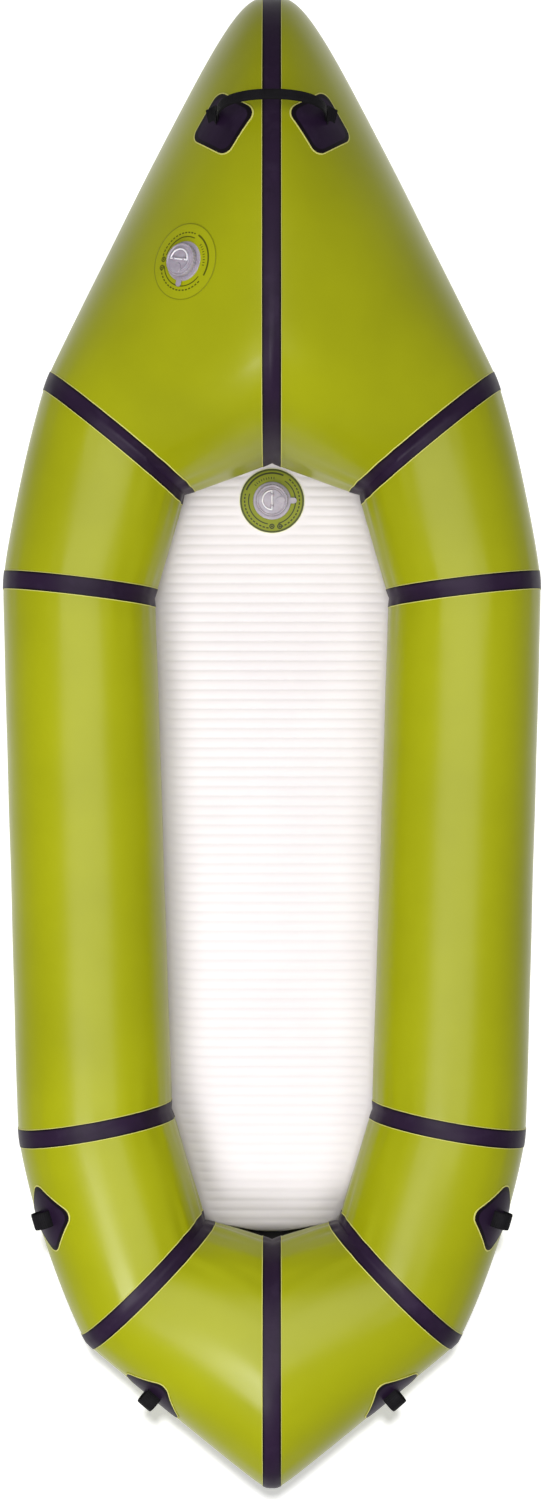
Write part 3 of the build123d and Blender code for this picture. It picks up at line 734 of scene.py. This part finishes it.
def land(panel, side, start, aim):
    """Point and smooth normal where a ray meets a panel, or None."""
    tree, points, faces, facing = HULL_TREES[panel, side]
    spot, _, index, _ = tree.ray_cast(Vector(start), Vector(aim))
    if spot is None:
        return None
    corners = faces[index]
    weights = poly_3d_calc([points[i] for i in corners], spot)
    normal = Vector((0, 0, 0))
    for i, weight in zip(corners, weights):
        normal += facing[i] * weight
    return spot, normal.normalized()


# ---- seam tapes
TAPE_EDGE = ((0.28, 1.04), (0.55, 1.02), (0.80, 1.00), (0.93, 0.95), (0.985, 0.75), (1.0, 0.30))
# A tape's section: shares of its half width, each with its lift off the cloth in millimetres.
TAPE_SECTION = ([(-share, lift) for share, lift in TAPE_EDGE[::-1]] + [(0.0, 1.10)] + list(TAPE_EDGE)
                + [(0.6, -0.35), (0.0, -0.35), (-0.6, -0.35)])


def beside_seam(panel, end, reach):
    """Points and normals of a panel at a distance from one of its seams, all the way round."""
    gap = panel["gaps"][end]
    order = slice(None) if end == 0 else slice(None, None, -1)
    near = slice(0, 30)
    gap, rows, facing = gap[order][near], panel["rows"][order][near], panel["normals"][order][near]
    found = np.empty((AROUND, 6))
    for j in range(AROUND):
        for axis in range(3):
            found[j, axis] = np.interp(reach, gap[:, j], rows[:, j, axis])
            found[j, axis + 3] = np.interp(reach, gap[:, j], facing[:, j, axis])
    return found[:, :3], unit(found[:, 3:])


def ring_tape(name, before, before_end, after, after_end, node):
    """Tape welded over the seam between two panels, all the way round the tube."""
    count = len(TAPE_SECTION)
    piece = primitive(bpy.ops.mesh.primitive_torus_add, name, major_segments=AROUND, minor_segments=count,
                      major_radius=0.2, minor_radius=0.01)
    points = np.empty((AROUND, count, 3))
    for k, (share, lift) in enumerate(TAPE_SECTION):
        if share == 0:
            a, na = beside_seam(before, before_end, 0)
            b, nb = beside_seam(after, after_end, 0)
            spot, facing = (a + b) / 2, unit(na + nb)
        else:
            panel, end = (before, before_end) if share < 0 else (after, after_end)
            spot, facing = beside_seam(panel, end, abs(share) * TAPE_HALF)
        points[:, k] = spot + facing * (lift * MM)
    move_points(piece, points)
    store(piece, "edge", np.tile([(1 - abs(share)) * TAPE_HALF for share, _ in TAPE_SECTION], AROUND))
    edit(outward)
    smooth(piece, 60)
    put_on(piece, "hull", "seam_tape", TAPE_CLOTH, node)


CROSS_TAPES = (("bow_diagonal", "bow", 1, "shoulder", 0), ("fore", "shoulder", 1, "side", 0),
               ("aft", "side", 1, "quarter", 0), ("stern_diagonal", "quarter", 1, "stern", 1))
for side, panels in PANELS.items():
    for name, before, before_end, after, after_end in CROSS_TAPES:
        ring_tape("seam_tape_" + name + "_" + side, panels[before], before_end, panels[after], after_end,
                  "tape_" + name + "_" + side)
for end in ("bow", "stern"):
    ring_tape("seam_tape_centre_" + end, PANELS["port"][end], 0, PANELS["starboard"][end], 0,
              "tape_" + end + "_centre")


# ---- floor sheet
def past_ridge(ring):
    """Plan point under a section's lowest line, moved out by the sheet's margin."""
    return ring[0][:2] + unit(ring[AROUND // 4][:2] - ring[0][:2]) * SHEET_MARGIN


shares = np.linspace(0, 1, 24)
sections = [gore_section(share, *BOW_SHAPE) for share in shares]
sections += [plain_section(FORE_SEAM), plain_section(AFT_SEAM)]
sections += [gore_section(share, *STERN_SHAPE) for share in shares[::-1]]
sheet_edge = np.array([past_ridge(ring) for ring in sections[::-1]])
sheet_y = np.linspace(sheet_edge[0, 1], sheet_edge[-1, 1], SHEET_ROWS)
sheet_half = np.interp(sheet_y, sheet_edge[:, 1], sheet_edge[:, 0])
sheet_half[0] = sheet_half[-1] = 0
across = np.linspace(-1, 1, SHEET_COLUMNS)
across = np.sign(across) * (1 - (1 - np.abs(across)) ** 1.7)
sheet_rows = np.zeros((SHEET_ROWS, SHEET_COLUMNS, 3))
sheet_rows[..., 0] = sheet_half[:, None] * across
sheet_rows[..., 1] = sheet_y[:, None]
sheet_gap = (1 - np.abs(across)) * np.maximum(sheet_half[:, None], 1e-4)


def sheet_height(x, y):
    """Height of the sheet's top where it is glued up under the tube."""
    side = "starboard" if x >= 0 else "port"
    found = [land(name, side, (x * 0.9999, y, -RAY_HIGH), (0, 0, 1)) for name in PANELS[side]]
    heights = [hit[0].z for hit in found if hit]
    return max(SHEET_THICK, min(heights) - GLUED_DOWN) if heights else SHEET_THICK


for i, j in np.ndindex(sheet_gap.shape):
    glued = sheet_gap[i, j] < SHEET_MARGIN + 0.004
    sheet_rows[i, j, 2] = sheet_height(*sheet_rows[i, j, :2]) if glued else SHEET_THICK
floor_sheet = lay_grid("floor_sheet_cloth", sheet_rows)
store(floor_sheet, "edge", sheet_gap)
edit(weld(1e-5))
finish_with(floor_sheet, "SOLIDIFY", thickness=0.0009, offset=-1)
smooth(floor_sheet, 40)
put_on(floor_sheet, "hull", "floor_fabric", FLOOR_CLOTH, "floor_sheet")


# ---- air mat
cockpit = [(0, COCKPIT_BOW), BOW_SEAM[0], FORE_SEAM[0], AFT_SEAM[0], STERN_SEAM[0], (0, COCKPIT_STERN)]
valve_y = JOINTS["mat_valve_cap_turn"]["pos_m"][1]
mat_end = COCKPIT_STERN + MAT_STERN_GAP
mat_middle = (MAT_LOW + MAT_HIGH) / 2


def mat_half(y):
    """Half width of the mat's outline at a station."""
    best = 1.0
    for (xa, ya), (xb, yb) in zip(cockpit, cockpit[1:]):
        length = hypot(xb - xa, yb - ya)
        nx, ny = -(yb - ya) / length, (xb - xa) / length
        if nx > 0.05:
            best = min(best, (nx * xa + ny * ya + MAT_TUCK - ny * y) / nx)
    left = y - mat_end
    if left < MAT_CORNER:
        best -= MAT_CORNER - sqrt(max(MAT_CORNER**2 - (MAT_CORNER - left) ** 2, 0))
    return best


def mat_ring(y):
    """Points round the mat's section at a station, and how deep in a valley between ribs each lies."""
    left = min(y - mat_end, MAT_SIDE)
    half = max(mat_half(y), MAT_LEAST)
    thick = (MAT_HIGH - MAT_LOW) / 2 - MAT_SIDE + sqrt(MAT_SIDE**2 - (MAT_SIDE - left) ** 2)
    radius = min(max(min(thick, half * 0.9), MAT_LEAST), MAT_SIDE)
    round_high = min(radius, thick)
    flat = half - radius
    dip = 1 - abs(sin(pi * (y - valve_y) / RIB_PITCH + pi / 2)) ** 0.55
    fade = min(1.0, max(0.0, (left - 0.004) / 0.012))
    ring, dips = [], []

    def side_fade(x):
        return min(1.0, (flat - abs(x)) / 0.010 + 0.25) * fade

    def round_side(way, first, last):
        for a in np.linspace(first, last, MAT_SIDE_POINTS + 2)[1:-1]:
            high = round_high * sin(a) + (thick - round_high) * np.sign(sin(a))
            ring.append((way * (flat + radius * cos(a)), y, mat_middle + high))
            dips.append(0)

    for x in np.linspace(-1, 1, MAT_TOP_POINTS) * flat:
        near_valve = min(1.0, max(0.0, (hypot(x, y - valve_y) - RIB_CLEAR) / 0.006))
        share = dip * near_valve * side_fade(x)
        ring.append((x, y, mat_middle + thick - RIB_DEEP * share))
        dips.append(share)
    round_side(1, pi / 2, -pi / 2)
    for x in np.linspace(1, -1, MAT_BOTTOM_POINTS) * flat:
        ring.append((x, y, mat_middle - thick + RIB_DEEP * dip * side_fade(x)))
        dips.append(dip)
    round_side(-1, -pi / 2, pi / 2)
    return ring + ring[:1], dips + dips[:1]


mat_tip = mat_end
while mat_half(mat_tip) > 0.001:
    mat_tip += 0.0005
stations = np.linspace(mat_end, mat_tip, int((mat_tip - mat_end) / RIB_PITCH * STATIONS_PER_RIB))
end_stations = mat_end + MAT_SIDE * (1 - np.cos(np.linspace(0, pi / 2, 12)))
stations = np.concatenate([end_stations[:-1], stations[stations > mat_end + MAT_SIDE]])
mat_rows, mat_valley = map(list, zip(*(mat_ring(y) for y in stations)))
# Both ends draw in to one point, which closes the mat.
for row, end in ((0, mat_end), (len(mat_rows) + 1, stations[-1])):
    mat_rows.insert(row, [(0, end, mat_middle)] * len(mat_rows[0]))
    mat_valley.insert(row, [0] * len(mat_rows[0]))
mat = lay_grid("air_mat", np.array(mat_rows)[:, ::-1])
store(mat, "valley", np.array(mat_valley)[:, ::-1])
edit(weld(END_WELD), outward)
sink_well(mat, "mat_valve")
smooth(mat)
put_on(mat, "hull", "mat_fabric", MAT_CLOTH, "mat_top_skin", "mat_bottom_skin", "mat_side_band",
       "mat_inner_webs")


# ---- patches
def rounded_square(count, half, corner):
    """Grid of points over a square with round corners, and the distance of each to the cut edge."""
    line = np.linspace(-1, 1, count)
    line = np.sign(line) * (1 - (1 - np.abs(line)) ** 1.35)
    u, v = np.meshgrid(line, line)
    ring = np.maximum(np.abs(u), np.abs(v))
    angle = np.arctan2(v, u)
    c, s = np.abs(np.cos(angle)), np.abs(np.sin(angle))
    big, small = np.maximum(c, s), np.minimum(c, s)
    straight = half / big
    core = half - corner
    round_off = core * (big + small) + np.sqrt(np.maximum(corner**2 - core**2 * (big - small) ** 2, 0))
    reach = ring * np.where(straight * small > core, round_off, straight)
    return reach * np.cos(angle), reach * np.sin(angle), (1 - ring) * half


def patch(name, panel, side, at, turn, half_across, node):
    """Patch of cloth laid on the tube; turn is the direction of one side in plan."""
    sign = SIDES[side]
    spot, normal = land(panel, side, (sign * at[0], at[1], 1), (0, 0, -1))
    if turn is None:
        level = Vector((0, 0, 1)).cross(normal).normalized()
        one = (level + normal.cross(level)).normalized()
    else:
        one = Vector((-sign * sin(turn), cos(turn), 0))
        one = (one - normal * one.dot(normal)).normalized()
    two = normal.cross(one)
    px, py, edge = rounded_square(PATCH_POINTS, PATCH_HALF, PATCH_CORNER)
    py = py * half_across / PATCH_HALF
    points = np.empty((PATCH_POINTS, PATCH_POINTS, 3))
    for i, j in np.ndindex(px.shape):
        start = spot + one * px[i, j] + two * py[i, j] + normal * RAY_HIGH
        found = land(panel, side, start, -normal)
        where, facing = found if found else (start - normal * RAY_HIGH, normal)
        points[i, j] = where + facing * 0.0004
    piece = lay_grid(name, points)
    unwrap(piece, np.stack([px, py], -1).reshape(-1, 2))
    store(piece, "edge", edge)
    thicken(piece, PATCH_THICK, 0.0003)
    put_on(piece, "hull", "patch_fabric", PATCH_CLOTH, node)
    return spot, normal


TIES = {}
for side in SIDES:
    patch("bow_patch_" + side, "bow", side, BOW_PATCH_AT, BOW_PATCH_TURN, BOW_PATCH_HALF,
          "handle_patch_" + side)
    for tie, at in (("quarter", QUARTER_TIE_AT), ("stern", STERN_TIE_AT)):
        TIES[tie, side] = patch("tie_patch_cloth_" + tie + "_" + side, tie, side, at, None, PATCH_HALF,
                                "tie_patch_" + tie + "_" + side)


# ---- webbing
def band(name, path, widthwise, width, thick, flats=17):
    """Webbing along a path, with a width for each point, two faces and rounded edges."""
    path = np.array(path, float)
    sideways = unit(np.array(widthwise, float) * np.ones_like(path))
    widths = np.ones(len(path)) * width
    thicks = np.ones(len(path)) * thick
    along = unit(np.gradient(path, axis=0))
    sideways = unit(sideways - along * (sideways * along).sum(-1, keepdims=True))
    facing = np.cross(along, sideways)
    ring = [(u, 1.0) for u in np.linspace(-1, 1, flats)] + [(u, -1.0) for u in np.linspace(1, -1, flats)]
    ring.append(ring[0])
    points = np.empty((len(path), len(ring), 3))
    edge = np.empty((len(path), len(ring)))
    for k, (u, face) in enumerate(ring):
        fullness = (1 - abs(u) ** 5) ** 0.5 * 0.9 + 0.1
        across, high = u * widths / 2, face * thicks / 2 * fullness
        points[:, k] = path + sideways * across[:, None] + facing * high[:, None]
        edge[:, k] = (1 - abs(u)) * widths / 2
    points = np.concatenate([path[:1, None] + points[:1] * 0, points, path[-1:, None] + points[-1:] * 0])
    edge = np.concatenate([edge[:1] * 0, edge, edge[-1:] * 0])
    piece = lay_grid(name, points)
    store(piece, "edge", edge)
    edit(weld(END_WELD), outward)
    smooth(piece, 50)
    return piece


def smooth_path(points, count):
    """Even points along a soft curve through the given ones."""
    points = np.array(points, float)
    knots = np.concatenate([[0], np.cumsum(np.linalg.norm(np.diff(points, axis=0), axis=1) ** 0.5)])
    slopes = np.gradient(points, knots, axis=0)
    found = []
    for t in np.linspace(0, knots[-1], count):
        k = min(np.searchsorted(knots, t, side="right") - 1, len(points) - 2)
        h = knots[k + 1] - knots[k]
        s = (t - knots[k]) / h
        a, b, c, d = (2 * s**3 - 3 * s**2 + 1, s**3 - 2 * s**2 + s, -2 * s**3 + 3 * s**2, s**3 - s**2)
        found.append(points[k] * a + slopes[k] * h * b + points[k + 1] * c + slopes[k + 1] * h * d)
    return np.array(found)


# A tie loop from foot to foot, along the slope of the tube and out from it.
LOOP_PATH = ((-0.0135, 0.0), (-0.0150, 0.004), (-0.0162, 0.0105), (-0.0135, 0.0175), (-0.006, 0.0218),
             (0.002, 0.0225), (0.010, 0.0203), (0.0155, 0.0135), (0.0160, 0.0065), (0.0140, 0.0))
LOOP_SUNK = 0.0019          # its feet are sewn down this far


def tie_loop(tie, side):
    spot, normal = TIES[tie, side]
    level = Vector((0, 0, 1)).cross(normal).normalized()
    slope = normal.cross(level)
    path = [spot + slope * u + normal * (out - LOOP_SUNK) for u, out in LOOP_PATH]
    piece = band("tie_loop_webbing_" + tie + "_" + side, smooth_path(path, 56), level, WEBBING, WEB_THICK)
    put_on(piece, "hull", "webbing", WEBBING_CLOTH, "tie_loop_" + tie + "_" + side)


for tie, side in TIES:
    tie_loop(tie, side)

pivot = Vector(JOINTS["handle_flop"]["pos_m"])
rise = Vector((0, sin(HANDLE_LEAN), cos(HANDLE_LEAN)))
level = Vector((1, 0, 0))


def arch_point(x, up):
    return pivot + level * x + rise * up


half_arch = [(-HANDLE_X, -0.005), (-HANDLE_X, 0.006), (-HANDLE_X * 0.985, 0.020), (-HANDLE_X * 0.90, 0.038),
             (-HANDLE_X * 0.70, 0.056), (-HANDLE_X * 0.38, 0.0685)]
arch = half_arch + [(0, HANDLE_RISE)] + [(-x, up) for x, up in half_arch[::-1]]
arch_path = smooth_path([arch_point(x, up) for x, up in arch], 121)
share = np.abs(np.linspace(-1, 1, 121))
eased = np.clip((share - 0.25) / 0.6, 0, 1)
roll = 1 - eased**2 * (3 - 2 * eased)
strap_width = 0.0165 * roll + 0.0175 * (1 - roll)
strap_thick = 0.0050 * roll + 0.0030 * (1 - roll)
strap = band("bow_handle_strap", arch_path, np.cross(level, rise), strap_width, strap_thick, 21)
put_on(strap, "handle", "webbing", WEBBING_CLOTH, "handle_strap")

for side, sign in SIDES.items():
    foot, normal = land("bow", side, (sign * LUG_X, pivot.y, 1), (0, 0, -1))
    inward = Vector((-sign, 0, 0))
    inward = (inward - normal * normal.dot(inward)).normalized()
    path = [foot - inward * back + normal * up for back, up in LUG_FOOT]
    path += [(sign * LUG_X, pivot.y, z) for z in (foot.z + 0.0075, pivot.z - 0.004, pivot.z + 0.0075)]
    widths = np.interp(np.linspace(0, 1, 40), *LUG_WIDTHS)
    lug = band("bow_handle_lug_" + side, smooth_path(path, 40), (0, 1, 0), widths, WEB_THICK)
    put_on(lug, "hull", "webbing", WEBBING_CLOTH, "handle_lug_" + side)


# ---- valves
CAP_OUTLINE = ((19.1, 11.0), (19.1, 5.0), (23.8, 5.0), (24.6, 5.3), (25.0, 6.0), (25.0, 8.0),
               (25.0, 11.6), (24.8, 12.4), (24.2, 12.95), (23.4, 13.2), (22.6, 13.15), (22.1, 12.8),
               (21.7, 12.3), (21.1, 12.2), (20.6, 12.45), (20.1, 12.7), (18.5, 12.8), (14.0, 12.9),
               (9.0, 13.0), (3.0, 13.1), (0.6, 13.1))
CAP_AROUND = 120
CAP_GRIP = 0.0244           # the cap's edge is cut with grip flutes beyond this radius
GRIP_SHRINK = 0.972
BAIL_HIGH = 0.0149
BAIL_RADIUS = 0.015
BAIL_ROD = 0.00125
BOOT_HOLE = 0.0194
BOOT_SHARES = (0.12, 0.3, 0.5, 0.7, 0.85, 0.95, 1.0)
BOOT_THICK = 0.0007


def turned(name, outline):
    """Turned form: a circle extruded and scaled along an outline of (radius, height), both in millimetres."""
    first_radius, first_height = outline[0]
    piece = primitive(bpy.ops.mesh.primitive_circle_add, name, vertices=CAP_AROUND, radius=first_radius * MM,
                      location=(0, 0, first_height * MM))

    def follow_outline():
        for (radius, height), (next_radius, next_height) in zip(outline, outline[1:]):
            rise = (0, 0, (next_height - height) * MM)
            bpy.ops.mesh.extrude_region_move(TRANSFORM_OT_translate={"value": rise})
            scale = next_radius / radius
            bpy.ops.transform.resize(value=(scale, scale, 1), center_override=(0, 0, next_height * MM))
        bpy.ops.mesh.edge_face_add()
        bpy.ops.mesh.select_all(action="DESELECT")
        bpy.ops.mesh.select_non_manifold()
        bpy.ops.mesh.edge_face_add()
        bpy.ops.mesh.select_all(action="SELECT")
        outward()

    edit(follow_outline)
    return piece


def joined(first, *others):
    choose(first)
    for other in others:
        other.select_set(True)
    bpy.ops.object.join()
    return bpy.context.object


def model_cap(name):
    cap = turned(name, CAP_OUTLINE)

    def in_grip(at):
        step = int(round((atan2(at.y, at.x) % (2 * pi)) / (2 * pi) * CAP_AROUND)) % 4
        return hypot(at.x, at.y) > CAP_GRIP and step in (1, 2)

    edit(lambda: bpy.ops.transform.resize(value=(GRIP_SHRINK, GRIP_SHRINK, 1), center_override=(0, 0, 0)),
         where=in_grip)
    ears = []
    for y in (-0.009, 0.009):
        ear = primitive(bpy.ops.mesh.primitive_cube_add, "ear", size=1, location=(0, y, 0.01465),
                        scale=(0.0052, 0.004, 0.0043))
        edit(lambda: bpy.ops.mesh.select_mode(type="EDGE"),
             lambda: bpy.ops.mesh.bevel(offset=0.0019, segments=6), where=lambda at: at.z > 0.015)
        ears.append(ear)
    # A moulded finger rest: a raised crescent toward one edge of the face.
    face = 0.0129
    crescent = primitive(bpy.ops.mesh.primitive_torus_add, "crescent", major_segments=96, minor_segments=16,
                         major_radius=0.0165, minor_radius=0.0011, location=(0, 0, face))
    edit(lambda: bpy.ops.mesh.bisect(plane_co=(0, 0.006, face), plane_no=(0, 1, 0), use_fill=True,
                                     clear_inner=True))
    cap = joined(cap, crescent, *ears)
    smooth(cap, 42)
    return cap


def model_bail(name):
    loop = primitive(bpy.ops.mesh.primitive_torus_add, name, major_segments=96, minor_segments=20,
                     major_radius=BAIL_RADIUS, minor_radius=BAIL_ROD, location=(0, 0, BAIL_HIGH))
    edit(lambda: bpy.ops.mesh.bisect(plane_co=(0, 0, BAIL_HIGH), plane_no=(1, 0, 0), use_fill=True,
                                     clear_outer=True))
    pin = primitive(bpy.ops.mesh.primitive_cylinder_add, "pin", vertices=20, radius=BAIL_ROD, depth=0.0324,
                    location=(0, 0, BAIL_HIGH), rotation=(pi / 2, 0, 0))
    finish_with(pin, "BEVEL", width=0.0005, segments=3, limit_method="ANGLE")
    loop = joined(loop, pin)
    smooth(loop, 50)
    return loop


def ring_boot(name, rim, matrix, find):
    """Ring of cloth round a valve, laid on the surface that find gives along the valve's axis."""
    piece = primitive(bpy.ops.mesh.primitive_circle_add, name, vertices=112, radius=BOOT_HOLE)

    def widen():
        radius = BOOT_HOLE
        for share in BOOT_SHARES:
            wanted = BOOT_HOLE + (rim - BOOT_HOLE) * share
            bpy.ops.mesh.extrude_region_move()
            bpy.ops.transform.resize(value=(wanted / radius, wanted / radius, 1), center_override=(0, 0, 0))
            radius = wanted

    edit(widen)
    piece.data.uv_layers.new(name="UVMap")
    unwrap(piece, np.array([v.co[:2] for v in piece.data.vertices]))
    for vertex in piece.data.vertices:
        vertex.co = find(matrix @ Vector((vertex.co.x, vertex.co.y, RAY_HIGH)))
    choose(piece)
    edit(outward)
    up = matrix.to_3x3() @ Vector((0, 0, 1))
    if sum(p.normal.dot(up) for p in piece.data.polygons) < 0:
        edit(lambda: bpy.ops.mesh.flip_normals())
    thicken(piece, BOOT_THICK, 0.00025)
    return piece


for valve, rim, on_mat in (("tube_valve", 0.0575, False), ("mat_valve", 0.052, True)):
    turn = JOINTS[valve + "_cap_turn"]
    origin, axis = Vector(turn["pos_m"]), Vector(turn["axis"]).normalized()
    sideways = Vector(JOINTS[valve + "_bail_fold"]["axis"]).normalized()
    matrix = Matrix.Translation(origin) @ Matrix((sideways.cross(axis), sideways, axis)).transposed().to_4x4()

    def on_hull(start):
        found = land("bow", "port", start, -axis)
        where, facing = found if found else (start - axis * RAY_HIGH, axis)
        return where + facing * 0.0003

    def on_top(start):
        return Vector((start.x, start.y, MAT_HIGH + 0.0002))

    boot = ring_boot(valve + "_boot_cloth", rim, matrix, on_top if on_mat else on_hull)
    put_on(boot, "hull", "boot_fabric", boot_cloth(valve + "_printed_cloth", rim, on_mat), valve + "_boot")
    for model, name, body, finish, node in ((model_cap, "_screw_cap", "_screw", VALVE_GREY, "_cap"),
                                            (model_bail, "_pull_bail", "_ring", VALVE_PALE, "_bail")):
        piece = model(valve + name)
        placed(piece, matrix)
        put_on(piece, valve + body, "valve_plastic", finish, valve + node)
    for part, finish in (("body", VALVE_GREY), ("leash", VALVE_GREY), ("insert", VALVE_GREY),
                         ("thumb_tab", VALVE_GREY), ("flap", VALVE_RUBBER), ("gasket", VALVE_RUBBER)):
        shown = frame["nodes"][valve + "_" + part]
        shown.data.materials.clear()
        shown.data.materials.append(finish)


# ---- studio
def hung(name, data):
    """An object in the scene that carries a light's or camera's data."""
    made = bpy.data.objects.new(name, data)
    bpy.context.scene.collection.objects.link(made)
    return made


def soft_light(name, place, aim, size, power):
    light = bpy.data.lights.new(name, "AREA")
    light.shape = "RECTANGLE"
    light.size, light.size_y = size
    light.energy = power
    lamp = hung(name, light)
    lamp.location = place
    lamp.rotation_euler = (Vector(aim) - Vector(place)).to_track_quat("-Z", "Y").to_euler()
    lamp.visible_camera = False
    return lamp


overhead = soft_light("overhead", (-0.02, 0.10, 3.3), (-0.02, 0.10, 0), (3.8, 3.0), 106)
stern_softbox = soft_light("stern_softbox", (-0.95, -2.05, 3.0), (-0.1, -0.8, 0.1), (1.2, 1.1), 70)

world = bpy.data.worlds.new("studio")
bpy.context.scene.world = world
world.use_nodes = True
sky = Nodes(world.node_tree)
backdrop = world.node_tree.nodes["Background"].inputs
backdrop["Color"].default_value = (1, 1, 1, 1)
seen = sky.add("ShaderNodeLightPath")["Is Camera Ray"]
sky.feed(backdrop["Strength"], sky.math("MULTIPLY_ADD", seen, 0.60, 0.22))

ground = primitive(bpy.ops.mesh.primitive_plane_add, "studio_floor", size=30, location=(0, 0, -0.0006))
paper = Finish("studio_paper", 300.0, 2.0, Specular_IOR_Level=0.0, Roughness=0.9)
white = paper.blend(paper.cloud, (0.93, 0.93, 0.935, 1), (0.90, 0.90, 0.905, 1))
# In reflections only the paper close to the hull is bright, as under a lamp.
apart = paper.vector("MULTIPLY", paper.place["Object"], (1.0, 0.5, 0.0))["Vector"]
near = paper.spread(paper.vector("LENGTH", apart)["Value"], 1.0, 0.25, 0.55, 0.95)
bright = paper.math("MAXIMUM", paper.add("ShaderNodeLightPath")["Is Camera Ray"], near)
paper.feed(paper.sockets["Base Color"], paper.blend(bright, (0.12, 0.12, 0.12, 1), white))
paper.feed(paper.sockets["Emission Color"], white)
paper.feed(paper.sockets["Emission Strength"], paper.math("MULTIPLY", bright, 0.46))
ground.data.materials.append(paper.material)

# The sheet of paper has its own sun, so its shadows stay narrow under the big soft boxes.
beam = bpy.data.lights.new("paper_sun", "SUN")
beam.energy = 2.3
beam.angle = radians(5)
paper_sun = hung("paper_sun", beam)
paper_sun.rotation_euler = (-radians(19), 0, 0)
for lamp, state in ((paper_sun, "INCLUDE"), (overhead, "EXCLUDE"), (stern_softbox, "EXCLUDE")):
    linked = bpy.data.collections.new(lamp.name + "_on")
    linked.objects.link(ground)
    linked.collection_objects[0].light_linking.link_state = state
    lamp.light_linking.receiver_collection = linked

lens = bpy.data.cameras.new("camera")
lens.sensor_fit = "VERTICAL"
lens.angle_y = radians(28.56)
camera = hung("camera", lens)
camera.location = (0.0094, -0.0109, 4.721)
bpy.context.scene.camera = camera
bpy.context.scene.view_settings.view_transform = "Standard"
